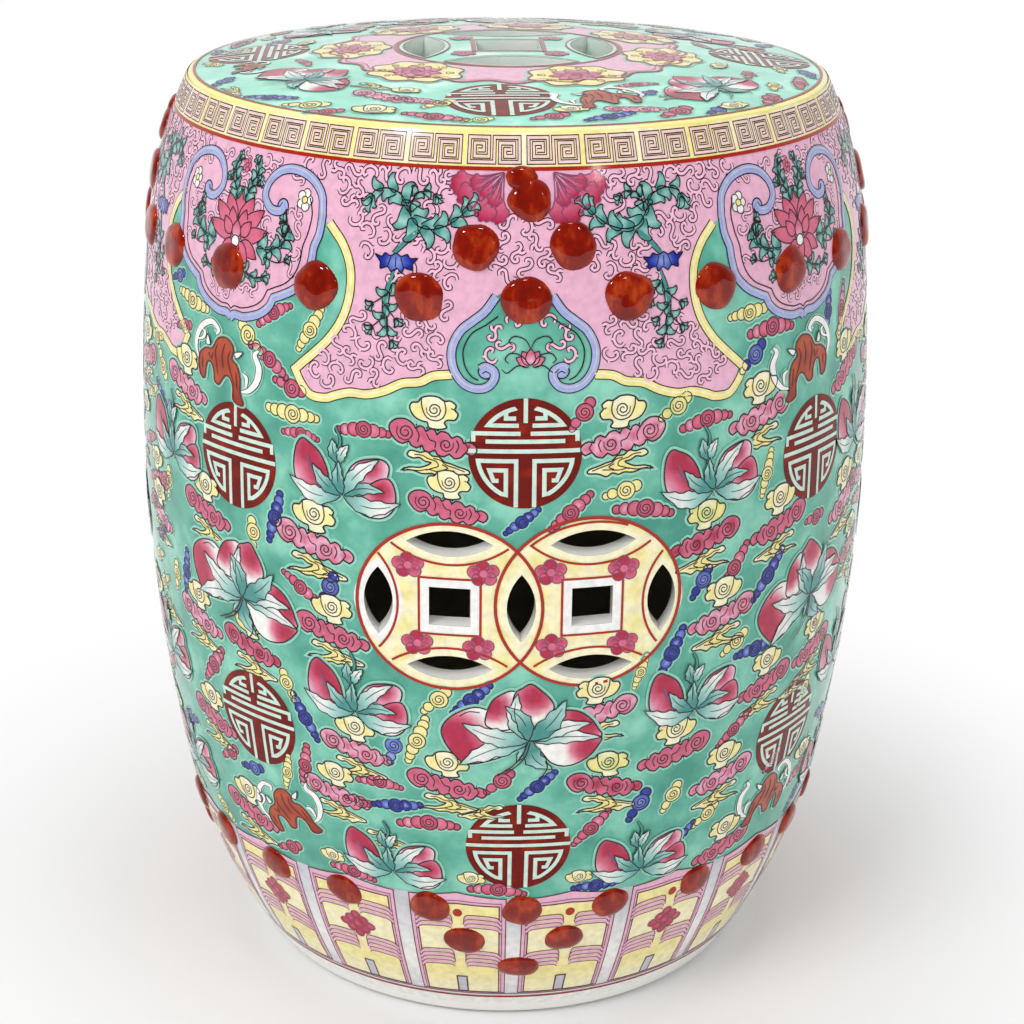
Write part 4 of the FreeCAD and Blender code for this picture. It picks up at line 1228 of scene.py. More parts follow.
def peachSpray():
    # one round peach and two half hidden ones on a leafy twig
    left = smooth([(-1.6, -1.0), (-6.0, 4.0), (-7.6, 11.0), (-11.4, 17.6), (-17.0, 21.4), (-20.4, 22.4),
                   (-23.4, 18.4), (-24.6, 10.0), (-23.2, 3.2), (-19.0, -2.2), (-13.0, -4.4), (-6.4, -3.6)],
                   True, 3)
    right = smooth([(2.0, 3.0), (2.4, 10.0), (6.4, 15.4), (13.0, 17.8), (18.6, 18.0), (21.6, 15.4),
                    (21.0, 10.4), (18.0, 6.0), (10.0, 2.4)], True, 3)
    lower = smooth([(1.6, -1.4), (8.0, 2.6), (16.0, 8.4), (21.8, 9.6), (24.6, 4.0), (24.0, -3.4), (19.4, -8.0),
                    (12.4, -8.6), (5.4, -5.4)], True, 3)
    art = []
    for loop in (left, right, lower):
        halo(art, loop, 3.0)
    ripe = ("crimson", "crimson", "rose", "pink", "white", "white")
    stacked(art, [(left, glows(((-17.0, 17.0), (-11.0, 9.0)), 22.0, ripe)),
                  (right, glow((13.0, 14.0), 13.0, ripe)), (lower, glow((18.0, 4.0), 15.0, ripe))], 3, 3.0, 0.6)
    stroke(art, [(-17.6, 15.4), (-15.4, 9.4), (-10.6, 5.0)], 1.6, 5, 0.3, tone="mauve")
    for width, level, tone in ((1.9, 5, "ink"), (1.1, 6, "leaf")):
        stroke(art, [(0.0, 0.0), (-1.6, 8.0), (-2.8, 16.0), (-1.0, 24.0), (-3.4, 30.0)], width, level, 0.7, 5,
               tone)
    leafStar(art, ((27.0, 8.0, 170.0, 0.16, 0, 0, 0), (27.0, 7.6, -2.0, -0.14, 0, 0, 0),
                   (11.0, 5.4, 106.0, 0.1, 1, -1.8, 14.0), (10.0, 4.6, 62.0, 0.1, 0, -1.6, 14.0),
                   (20.0, 5.6, 10.0, 0.12, 1, 0, 0), (25.0, 6.6, 46.0, 0.08, 0, 0, 0),
                   (19.0, 6.2, 141.0, 0.12, 1, 0, 0), (15.0, 5.6, 96.0, 0.1, 1, 0, 0)))
    return art


def bat():
    # a red bat, head down, with curling white ribbons
    art = []
    leftRibbon = smooth([(-15.6, -4.6), (-18.6, 2.0), (-17.8, 9.6), (-13.8, 16.0), (-8.0, 19.4), (-3.4, 16.6),
                         (-4.6, 13.6)], per=5)
    leftFork = smooth([(-17.6, 6.0), (-13.6, 8.6), (-12.8, 12.0), (-14.4, 12.8)], per=4)
    rightRibbon = smooth([(13.6, -12.0), (18.0, -9.6), (21.8, -3.4), (22.6, 4.4), (19.8, 10.4), (21.6, 13.8)],
                         per=5)
    rightFork = smooth([(16.2, -9.0), (16.0, -3.4), (13.6, -1.6)], per=4)
    body = smooth([(-3.4, 11.6), (1.6, 14.2), (5.8, 12.4), (7.4, 8.6), (6.6, 4.0), (10.2, 1.2), (12.6, -5.2),
                   (13.0, -12.4), (15.4, -18.4), (12.4, -19.6), (9.0, -17.8), (8.6, -11.4), (6.8, -7.4),
                   (4.2, -6.2), (2.0, -8.4), (-0.6, -13.2), (-3.6, -12.0), (-4.2, -7.6), (-6.0, -3.6),
                   (-8.8, -2.8), (-10.0, -6.4), (-10.6, -13.2), (-13.6, -12.6), (-15.6, -6.6), (-15.0, -0.4),
                   (-11.2, 3.6), (-6.6, 5.2)], True, 3)
    halo(art, body, 3.0)
    for path, width in ((leftRibbon, 3.0), (rightRibbon, 3.2), (leftFork, 1.7), (rightFork, 1.9)):
        line(art, path, width + 2.0, "paleTurquoise", level=0)
        line(art, path, width + 0.9, "ink", level=2, ends=0.35)
        line(art, path, width, "white", level=3, ends=0.3)
    stacked(art, [(body, glow((0.0, 0.0), 20.0, ("rust", "amber", "rust")))], 4, 2.6, 0.8, "darkIron")
    for path in ([(-3.0, 9.0), (-4.4, 4.0), (-3.0, -2.0), (-1.6, -8.0)], [(1.6, 10.6), (0.4, 4.0), (1.6, -3.0)],
                 [(5.4, 8.0), (4.2, 3.0), (6.2, -3.0), (9.8, -10.0)], [(-13.0, -2.0), (-12.6, -8.0)],
                 [(-9.0, 2.0), (-7.0, -1.0)], [(9.6, -2.0), (11.2, -12.0)], [(-6.0, 3.0), (-6.4, -1.6)]):
        stroke(art, path, 0.8, 6, 0.4, tone="darkIron")
    ear = []
    stacked(ear, [(smooth([(0.0, -1.6), (5.4, 0.0), (0.0, 1.6)], True, 3), "white")], 4, 3.0, 0.5)
    return art + shifted(ear, -9.6, 6.4, 100.0) + shifted(ear, 8.8, 6.4, 40.0)


masters = {"cloud": cloud(), "cloudPink": cloud("pink"),
           "cloudRed": cloud("red", ("yellow", "yellow", "lime", "paleYellow")),
           "cloudBare": cloud(under=False), "bankPink": bank("pink"), "puff": puff(neck=False), "wisp": wisp(),
           "rose": chain(longRow, roseTones), "roseFlat": chain(flatRow, roseTones),
           "roseShort": chain(shortRow, roseTones), "blue": chain(longRow, blueTones),
           "blueShort": chain(shortRow, blueTones), "bluePale": chain(shortRow, paleBlue),
           "snail": chain(shortRow, yellowTones), "snailLong": chain(longRow, yellowTones),
           "snailLime": chain(shortRow, limeTones), "cluster": peachCluster(), "spray": peachSpray(),
           "bat": stretched(bat(), 1.06, 0.82)}
print("motifs drawn", len(masters))


# what grows and floats on the turquoise: master, degrees, height, turn, size, and 1 if it is mirrored
floating = (
    ("cloud", -12.6, 329.8, 0, 1.04), ("cloudBare", -10.4, 298.6, 0, 0.94), ("roseFlat", -22.6, 330.5, 4, 0.8),
    ("roseShort", 8.4, 342.0, 32, 0.85), ("cloudPink", 14.2, 329.5, 0, 1.04, 1),
    ("snailLime", 22.2, 341.0, 10, 0.9), ("roseFlat", 26.6, 332.5, 8, 0.84), ("snail", 14.4, 305.0, -8, 0.9),
    ("roseFlat", 17.0, 295.4, -8, 0.9), ("blue", -0.1, 292.6, 22, 0.66), ("rose", 6.6, 296.4, 26, 0.84),
    ("cloudRed", 27.4, 276.6, 0, 1.0, 1), ("blueShort", -60.0, 379.0, 0, 0.7),
    ("snailLong", -55.6, 370.6, -24, 0.9), ("roseShort", -57.4, 357.0, -10, 0.75),
    ("cloudPink", -57.0, 330.6, 0, 1.0), ("snail", -65.4, 331.0, -72, 0.9), ("blue", -65.6, 315.5, -50, 0.8),
    ("roseFlat", -37.6, 375.6, 34, 0.7), ("snailLong", -31.0, 371.6, 44, 0.8),
    ("snail", -42.2, 363.4, -18, 0.95, 1), ("roseFlat", -38.2, 355.0, -26, 0.8),
    ("roseShort", -33.8, 344.0, -34, 0.9), ("snailLong", -33.6, 332.4, 14, 0.95, 1),
    ("roseFlat", -32.4, 324.0, 0, 0.62), ("snailLong", 34.6, 377.0, -12, 0.85),
    ("roseFlat", 38.8, 368.0, 0, 0.92), ("blueShort", 35.6, 357.6, 18, 0.95), ("blue", 53.4, 366.0, 64, 0.82),
    ("rose", 58.2, 364.0, 56, 0.85), ("cloudPink", 36.9, 330.0, 0, 1.04, 1),
    ("cloudBare", 60.0, 335.0, 12, 1.0, 1), ("snailLong", 38.1, 300.0, 60, 0.78),
    ("cloud", -51.8, 273.0, 0, 1.0), ("snail", -41.0, 271.0, 70, 0.9), ("blue", -36.8, 281.0, 58, 0.9),
    ("cloudPink", -30.4, 274.2, 0, 1.1), ("rose", -32.6, 250.0, -46, 0.8),
    ("blueShort", -27.6, 253.5, 42, 0.95), ("cloud", -27.8, 231.0, 0, 1.02),
    ("cloudPink", -55.4, 213.4, 0, 1.0), ("blue", -58.6, 233.0, 62, 0.86), ("snail", -62.4, 228.0, 58, 0.85),
    ("cloudRed", -43.0, 211.0, 0, 1.0), ("snail", -36.2, 197.6, -48, 0.85, 1),
    ("blue", -33.2, 181.0, -46, 0.9, 1), ("rose", -52.8, 189.5, 34, 1.0), ("cloud", 41.5, 273.5, 0, 1.05, 1),
    ("blueShort", 27.0, 256.0, 36, 0.9), ("rose", 32.4, 258.0, 40, 0.9), ("roseShort", 50.8, 267.5, -20, 0.85),
    ("blue", 39.4, 248.4, 34, 1.0), ("cloudPink", 31.0, 236.0, 0, 1.04, 1), ("snail", 34.0, 219.4, 10, 0.9),
    ("blue", 38.0, 211.6, -12, 0.95), ("blue", 22.4, 221.6, 50, 0.92), ("snailLong", 17.6, 214.4, 56, 0.62),
    ("cloudPink", 11.6, 196.4, 0, 1.0, 1), ("cloudPink", 61.4, 267.4, 4, 1.1, 1),
    ("cloud", 54.0, 196.0, 0, 1.0, 1), ("cloud", 41.4, 190.6, 0, 1.0, 1), ("snail", -11.6, 203.6, 24, 0.92),
    ("blue", -7.0, 204.2, 26, 0.82), ("snailLong", -15.0, 180.4, 54, 0.92), ("bluePale", -18.6, 176.2, 58, 0.9),
    ("cloud", -10.9, 157.8, 0, 1.0), ("roseShort", -2.4, 161.0, 22, 0.9), ("blue", 2.8, 157.6, 26, 0.78),
    ("cloudRed", 13.1, 156.0, 0, 1.0), ("cloudPink", -25.0, 171.0, 0, 0.98),
    ("roseFlat", -21.4, 154.2, 0, 0.72), ("blue", -18.8, 142.4, -8, 0.85), ("roseFlat", -14.0, 134.4, 4, 0.92),
    ("rose", 11.5, 131.0, 32, 0.85), ("blueShort", 19.4, 142.0, 40, 0.98), ("snail", 25.0, 142.6, 42, 0.9),
    ("cloudBare", 24.6, 167.4, 0, 1.04, 1), ("rose", 35.4, 170.0, 22, 0.85),
    ("cloudPink", 34.5, 145.4, 0, 1.04, 1), ("snail", 32.6, 124.5, 14, 0.9),
    ("cloudBare", 37.6, 99.6, 0, 1.0, 1), ("puff", -7.2, 103.0, 0, 0.66), ("roseFlat", -3.2, 96.4, -4, 0.86),
    ("puff", 10.2, 102.4, 0, 0.66), ("blue", 13.2, 95.6, -14, 0.84), ("cloud", -55.2, 158.0, 0, 1.0),
    ("rose", -34.2, 153.4, 62, 0.85), ("snailLong", -38.0, 145.6, 62, 0.72),
    ("cloudPink", -29.0, 143.0, 0, 0.95), ("roseShort", -51.4, 141.6, 12, 0.9),
    ("blueShort", -45.6, 139.6, -10, 0.85), ("cloud", -48.8, 111.2, 0, 1.04), ("puff", -31.0, 103.6, 0, 0.66),
    ("roseFlat", -27.6, 96.8, -6, 0.76), ("roseShort", -39.6, 99.4, 0, 0.85),
    ("roseShort", -24.6, 140.6, -30, 0.72), ("roseShort", 47.2, 140.0, 16, 0.8),
    ("snail", -63.4, 276.0, 60, 0.85), ("blue", 27.2, 113.6, 30, 0.8), ("wisp", -20.4, 120.6, 0, 0.9),
    ("wisp", -5.4, 142.6, 0, 0.8, 1), ("snail", 53.6, 172.6, 40, 0.85), ("wisp", 49.0, 178.6, 0, 0.85, 1),
    ("roseFlat", 59.2, 118.0, 12, 0.9), ("puff", 58.4, 130.4, 0, 0.95), ("blue", 60.4, 100.4, 20, 0.8),
    ("snail", -58.4, 99.6, -14, 0.85, 1), ("wisp", -66.6, 201.4, 0, 0.95),
    ("cloudRed", 66.4, 236.4, 0, 0.95, 1), ("cloudPink", -68.6, 253.6, 0, 0.95),
)
besideSides = (
    ("cloud", 15.6, 329.6, 0, 1.0), ("roseShort", 7.0, 343.0, 30, 0.85), ("snailLime", 21.4, 343.0, 30, 0.85),
    ("blue", 8.0, 291.6, 48, 0.85), ("rose", 16.6, 287.0, 34, 0.9), ("snail", 20.4, 214.4, 50, 0.9),
    ("cloudPink", 15.4, 196.2, 0, 1.0), ("blue", 6.4, 194.6, 30, 0.85), ("cloud", 12.8, 163.4, 0, 1.0),
    ("roseFlat", 22.4, 171.6, 10, 0.85), ("blueShort", 24.0, 142.0, 34, 0.95),
    ("cloudPink", 16.4, 132.4, 0, 0.85), ("roseFlat", 10.2, 99.0, 0, 0.9), ("snail", 19.4, 100.0, 12, 0.85),
    ("blueShort", 3.0, 158.6, 26, 0.8), ("wisp", 11.0, 273.0, 0, 0.9), ("snail", 4.6, 279.6, 20, 0.85),
    ("cloudBare", 21.5, 271.0, 0, 0.9), ("roseFlat", 19.0, 256.4, 12, 0.9), ("blueShort", 21.4, 242.0, 50, 0.9),
    ("snail", 18.4, 227.0, 40, 0.85), ("roseShort", 6.0, 209.6, 10, 0.85), ("puff", 13.4, 211.0, 0, 0.8),
    ("roseFlat", 5.2, 180.6, 10, 0.9), ("wisp", 9.4, 174.6, 0, 0.85), ("snail", 16.4, 181.0, 30, 0.8),
    ("roseShort", 13.4, 147.6, 10, 0.8), ("blue", 14.6, 117.0, 20, 0.8), ("wisp", 14.4, 108.0, 0, 0.85),
    ("roseShort", 12.2, 313.6, 30, 0.8), ("puff", 14.0, 303.0, 0, 0.9), ("roseFlat", 5.0, 297.6, 10, 0.8),
    ("snailLong", 19.6, 314.0, 40, 0.7),
)
fruit = (
    ("cluster", 1.4, 183.4, 0, 1.0), ("cluster", -43.7, 235.8, -12, 1.0), ("cluster", 50.4, 228.0, 8, 1.0),
    ("spray", -25.4, 299.5, 0, 1.0), ("spray", 28.1, 299.5, 4, 1.0), ("spray", -24.3, 191.5, -4, 1.0),
    ("spray", 27.1, 189.0, 0, 1.0), ("spray", -20.0, 103.0, 0, 0.95), ("spray", 20.9, 102.0, 3, 0.95),
    ("spray", -60.6, 292.6, 0, 1.0), ("spray", 64.6, 296.6, 0, 1.0), ("spray", -69.4, 176.6, 0, 1.0),
    ("spray", 66.4, 172.6, 4, 1.0), ("cluster", 90.0, 238.0, 0, 1.05), ("spray", -66.6, 116.6, 0, 0.95),
    ("spray", 69.0, 106.6, 0, 0.95),
)
bats = (("bat", -47.6, 347.6, -4, 1.0), ("bat", 46.8, 348.6, 4, 1.0, 1), ("bat", -39.2, 123.0, 28, 0.95),
        ("bat", 47.6, 118.6, -10, 0.98, 1))


def scatter(rows, up=0):
    for name, a, z, turn, size, *mirror in rows:
        lay("wall", masters[name], a, z, turn, size * 1.03, bool(mirror), copies=halves, up=up)


scatter(floating)
for hand in (1, -1):
    mirror = [1] if hand > 0 else []
    scatter([(name, 90.0 + hand * a, z, hand * turn, size, *mirror) for name, a, z, turn, size in besideSides])
scatter(fruit, 4)
scatter(bats, 3)
for z in (324.0, 122.5):
    lay("wall", fretRoundel(), 90.0, z, copies=halves)


# flowers on the pink
def petal(length, width, turn, x=0.0, y=0.0, tones=("rose", "rose", "crimson")):
    t = np.linspace(0, 1, 9)
    half = width / 2.0 * np.sin(np.pi * t ** 0.75) ** 0.75
    loop = np.vstack([np.stack([t * length, half], 1), np.stack([t[-2:0:-1] * length, -half[-2:0:-1]], 1)])
    middle = turnedBy([(length * 0.25, 0.0)], turn, x, y)[0]
    return turnedBy(loop, turn, x, y), glow(middle, length * 0.85, tones)


def lotus():
    art, shapes = [], []
    for length, width, turn, x, y in ((15.0, 8.0, 90, 0, 3), (15.0, 8.0, 116, -2, 2), (15.0, 8.0, 64, 2, 2),
            (17.0, 7.6, 140, -3, 0), (17.0, 7.6, 40, 3, 0), (17.5, 7.0, 163, -3, -3), (17.5, 7.0, 17, 3, -3),
            (12.0, 6.6, -32, 4, -4), (13.0, 6.6, -62, 2, -4), (12.0, 6.4, -92, 0, -4),
            (12.0, 6.4, -128, -2, -4), (10.0, 6.0, 104, -2.4, 0), (10.0, 6.0, 76, 2.4, 0),
            (9.0, 5.6, 128, -3.4, -2), (9.0, 5.6, 52, 3.4, -2)):
        shapes.append(petal(length, width, turn, x, y))
    shapes.append(petal(8.0, 6.0, 90, 0, -3.4, ("pink", "rose", "deepPink")))
    shapes.append((disc(2.6, 12, 0, -4.6), "white"))
    stacked(art, shapes, 3, 4.0, 0.5)
    return art


def lobe(reach, turn, hand, x, y):
    # one rounded lobe of a frond, its tip curled to one side
    loop = smooth([(0.0, -0.16), (0.3, -0.34), (0.68, -0.36), (0.96, -0.1), (1.04, 0.18), (0.92, 0.34),
                   (0.74, 0.2), (0.42, 0.2), (0.04, 0.16)], True, 2) * [reach, hand * reach]
    return turnedBy(loop, turn, x, y), glow((x, y), reach, ("leaf", "leaf", "paleLeaf", "leaf"))


def frond(points, reach, count):
    # a curling acanthus frond along the points, its lobes smaller towards the tip
    art, shapes, path = [], [], smooth(points, per=8)
    for i in range(count):
        t = 0.08 + 0.8 * i / max(count - 1, 1)
        j = min(int(t * (len(path) - 1)), len(path) - 2)
        slope = math.degrees(math.atan2(*(path[j + 1] - path[j])[::-1]))
        for hand in (1, -1):
            shapes.append(lobe(reach * (1.0 - 0.4 * t), slope + hand * (44 - 16 * t), hand, *path[j]))
    slope = math.degrees(math.atan2(*(path[-1] - path[-3])[::-1]))
    shapes.append(lobe(reach * 0.66, slope + 6, 1, *path[-2]))
    shapes.append(lobe(reach * 0.54, slope - 30, -1, *path[-2]))
    stacked(art, shapes, 3, 4.0, 0.5)
    line(art, path, 0.6, level=6, ends=0.5)
    return art


def trumpet(length, flare, turn, tones):
    # a long-necked blossom from the side, its mouth in round scallops
    side = [(0.0, 0.02), (0.3, 0.06), (0.52, 0.13), (0.66, 0.26)]
    mouth = []
    for i in range(5):
        a = math.radians(76 - 38 * i)
        x, y = 0.7 + 0.22 * math.cos(a), 0.3 * math.sin(a)
        mouth += [(x + 0.085 * math.cos(a + b), y + 0.1 * math.sin(a + b)) for b in (1.1, 0.4, -0.4, -1.1)]
    loop = np.array(side + mouth + [(x, -y) for x, y in side[::-1]]) * [length, flare]
    return turnedBy(loop, turn), glow((0, 0), length * 0.94, tones)


def bloomFan():
    # fringed rose-red blossoms seen from the side, opening to the left and down
    art, shapes, pinks = [], [], ("paleRose", "pink", "rose", "deepPink", "crimson")
    for length, flare, turn in ((22.0, 14.0, 229), (26.0, 15.0, 195), (23.0, 13.0, 262), (24.0, 14.0, 243),
            (25.0, 15.0, 211), (15.0, 10.0, 222), (17.0, 10.0, 200), (16.0, 9.0, 250)):
        shapes.append(trumpet(length, flare, turn, pinks))
    stacked(art, shapes, 3, 4.0, 0.5, "mauve")
    for length, turn in ((17.0, 194), (19.0, 199), (18.0, 209), (16.0, 214), (11.0, 226), (17.0, 239),
                         (16.0, 251), (15.0, 258)):
        line(art, turnedBy([(4.0, 0.0), (length * 0.6, 0.5), (length, 0.0)], turn), 0.42, "mauve", level=6,
             ends=0.4)
    return art


def blueFlower():
    loop = smooth([(-9.4, 2.8), (-6.4, 2.0), (-5.0, 3.6), (-2.4, 2.6), (0.0, 3.8), (2.4, 2.6), (5.0, 3.6),
                   (6.4, 2.0), (9.6, 2.2), (7.6, -0.2), (7.4, -2.8), (4.0, -2.0), (2.8, -4.2), (0.6, -2.4),
                   (-1.8, -4.0), (-3.6, -2.0), (-6.8, -3.0), (-7.0, -0.2)], True, 3)
    art = []
    stacked(art, [(loop, glows(((0.0, 0.0),), 8.0, ("lavender", "sky", "cobalt", "cobalt")))], 3, 3.0, 0.5)
    for x in (-3.6, 0.0, 3.6):
        line(art, [(x, -2.0), (x * 0.6, 2.2)], 0.4, level=5)
    return art


def floret(petals, middle):
    art = []
    around = [(2.4 * math.cos(a), 3.2 * math.sin(a)) for a in np.linspace(0, math.tau, 6)[:-1]]
    stacked(art, [(disc(2.2, 10, x, y), petals) for x, y in around] + [(disc(1.7, 10), middle)], 3, 3.0, 0.45)
    return art


def twig(art, points, width=1.5):
    stroke(art, points, width + 1.6, 2, 0.7, 5)
    stroke(art, points, width + 0.6, 3, 0.7, 5, "leaf")


hookPaths = (([(-4.6, 0.6), (-5.2, 2.6), (-3.6, 4.2), (-1.6, 3.4), (-0.8, 1.0), (0.4, -1.8), (2.8, -3.0),
               (4.8, -1.8), (4.6, 0.2), (3.2, 0.4)],),
               ([(3.4, 3.0), (4.8, 1.8), (4.0, -0.2), (1.2, -0.4), (-1.8, 1.2), (-4.2, 0.8), (-5.0, -1.4),
                 (-3.6, -2.8), (-2.2, -1.6)], [(0.8, -0.4), (1.4, -2.6), (3.4, -3.6)]),
                 ([(-1.6, -0.8), (-3.0, -2.2), (-4.4, -0.6), (-3.2, 2.2), (-0.2, 3.4), (3.0, 2.4), (4.4, -0.2),
                   (3.0, -2.4)], [(-0.2, 3.2), (-1.0, 5.0)]))


def hook(number):
    # one short curling stroke of the dense scrolling that fills the pink
    art = []
    for width, tone, level in ((2.8, "plum", 1), (1.5, "blush", 2)):
        for path in hookPaths[number]:
            stroke(art, path, width, level, 0.85, 3, tone)
    return art


hooks = [hook(i) for i in range(3)]


def scrollFill(region, avoid, x0=0.0, apart=7.2, copies=quarters, size=0.75):
    # sets hooks all over the region, clear of each other and of what is to stay free
    low, high, taken = region.min(0), region.max(0), np.zeros((0, 2))
    gx, gy = np.meshgrid(np.arange(low[0] + 2.0, high[0], 2.1), np.arange(high[1] - 3.0, low[1], -2.1))
    for x, y in np.stack([gx.ravel(), gy.ravel()], 1):
        spot = np.array([[x, y]])
        if len(taken) and np.min(np.hypot(*(taken - spot).T)) < apart:
            continue
        ring = np.vstack([spot, spot + disc(3.6 * size, 8)])
        if not isInside(ring, [region]).all() or any(isInside(ring, [a]).any() for a in avoid):
            continue
        taken = np.vstack([taken, spot])
        drift = noise.noise_vector(Vector((x * 0.37 + size, y * 0.41, 0.7)))
        lay("wall", hooks[int(abs(drift.z) * 97) % 3], x0 + x / degree, y, (drift.z * 1700.0) % 360.0, size,
            drift.x > 0, copies=copies)


def lappetFlowers():
    art = []
    for hand in (1.0, -1.0):
        def at(points):
            return (wide(points) * [hand, 1.0]) + [0.6 * degree, 0.0]
        for path, width in (([(-15.4, 419.8), (-17.2, 415.2), (-19.2, 408.8)], 1.5),
                            ([(-19.0, 401.4), (-19.8, 394.0), (-20.2, 386.0), (-19.8, 377.0)], 1.1)):
            twig(art, at(path), width)
        art += frond(at([(-8.6, 429.0), (-9.8, 425.4), (-11.6, 421.6), (-14.0, 419.6), (-16.0, 421.0),
                         (-17.2, 425.4), (-18.0, 430.4)])[::-1], 10.5, 6)
        art += frond(at([(-17.6, 428.6), (-18.8, 433.0), (-20.8, 435.0), (-22.8, 433.6), (-23.4, 430.0)]), 8.6,
                     4)
        art += frond(at([(-17.2, 425.4), (-17.0, 430.4), (-16.0, 434.2), (-14.2, 434.6), (-13.4, 432.4)]), 5.4,
                     4)
        for path in ([(-19.0, 397.0), (-18.0, 393.0), (-17.4, 389.0)],
                     [(-19.6, 392.6), (-21.0, 389.0), (-22.2, 386.6)],
                     [(-20.2, 387.0), (-19.2, 383.4), (-18.4, 380.6)],
                     [(-20.0, 383.0), (-21.2, 379.0), (-22.2, 376.4)],
                     [(-19.8, 378.0), (-19.6, 374.0), (-19.0, 371.0)]):
            art += frond(at(path), 5.6, 2)
    lay("wall", art, raw=True, copies=quarters)
    blue, bloom = blueFlower(), bloomFan()
    for a, mirror in ((-18.2, False), (20.2, True)):
        lay("wall", blue, a, 405.2, 0, 1.0, mirror, copies=quarters)
    for a, mirror in ((-3.0, False), (4.4, True)):
        lay("wall", bloom, a, 443.0, 0, 0.9, mirror, copies=quarters)
    for hand in (1, -1):
        for a, z, turn, number in ((3.6, 371.4, 40, 0), (4.9, 377.4, 110, 1), (2.4, 382.6, 20, 2),
                (5.4, 367.6, 250, 2)):
            lay("wall", hooks[number], 0.9 + hand * a, z, hand * turn, 0.72, hand < 0, copies=quarters)
    notch = []
    stacked(notch, [(petal(7.0, 4.4, 90 + 32 * i, 0, 0, ("pink", "rose", "deepPink")))
                    for i in (-2, 2, -1, 1, 0)], 4, 3.0, 0.45)
    for path in ([(0.5, 0.0), (4.0, 4.0), (8.6, 5.0), (11.0, 2.4), (9.4, 0.6)],
                 [(1.0, -1.0), (5.6, -0.4), (10.0, -3.6), (12.4, -2.0)],
                 [(0.0, 7.0), (2.4, 11.0), (7.0, 12.4), (9.4, 10.2), (7.6, 8.6)]):
        for hand in (1, -1):
            stroke(notch, np.array(path) * [hand, 1], 0.55, 5, 0.6)
    lay("wall", notch, 0.9, 363.6, copies=quarters)
    row, pairHeight, peak = bossForm["upper"]
    avoid = [disc(9.5, 14, a * degree, row) for a in (-29.0, -22.4, -14.4, -7.0, 0.2, 7.6, 13.6, 22.6, 28.6)]
    avoid += [disc(9.5, 14, a * degree, z) for a, z in ((-6.9, pairHeight), (6.9, pairHeight), (0.6, peak))]
    for hand in (1.0, -1.0):
        middle = 0.6 * degree
        avoid += [disc(r, 12, middle - hand * a * degree, z, tall)
                  for r, a, z, tall in ((8.0, 19.2, 405.2, 0.5), (6.5, 12.6, 420.6, 0.75),
                          (6.5, 9.6, 425.6, 0.8), (6.5, 16.6, 423.6, 1.0), (7.5, 20.6, 432.4, 0.8),
                          (4.5, 14.6, 433.6, 0.7), (11, 6.6, 436.6, 0.8), (6, 5.0, 430.0, 1.0),
                          (4, 20.0, 384.0, 3.2))]
    avoid += [wide([(-11.4, 352.0), (-10.6, 382.0), (-5.0, 397.0), (5.0, 397.0), (10.8, 382.0), (11.6, 352.0)])]
    side = np.vstack([smooth(wide(lappetEdge)), smooth(wide(lappetFoot))[1:]]) * [0.94, 1.0] + [0.0, 3.4]
    region = np.vstack([wide([(-45.0, 443.6), (45.0, 443.6), (45.0, 441.6), (37.0, 441.0), (31.0, 435.0),
                              (28.6, 424.0)]), side, (side * [-1, 1])[::-1],
                              wide([(-28.6, 424.0), (-31.0, 435.0), (-37.0, 441.0), (-45.0, 441.6)])])
    scrollFill(region, avoid)


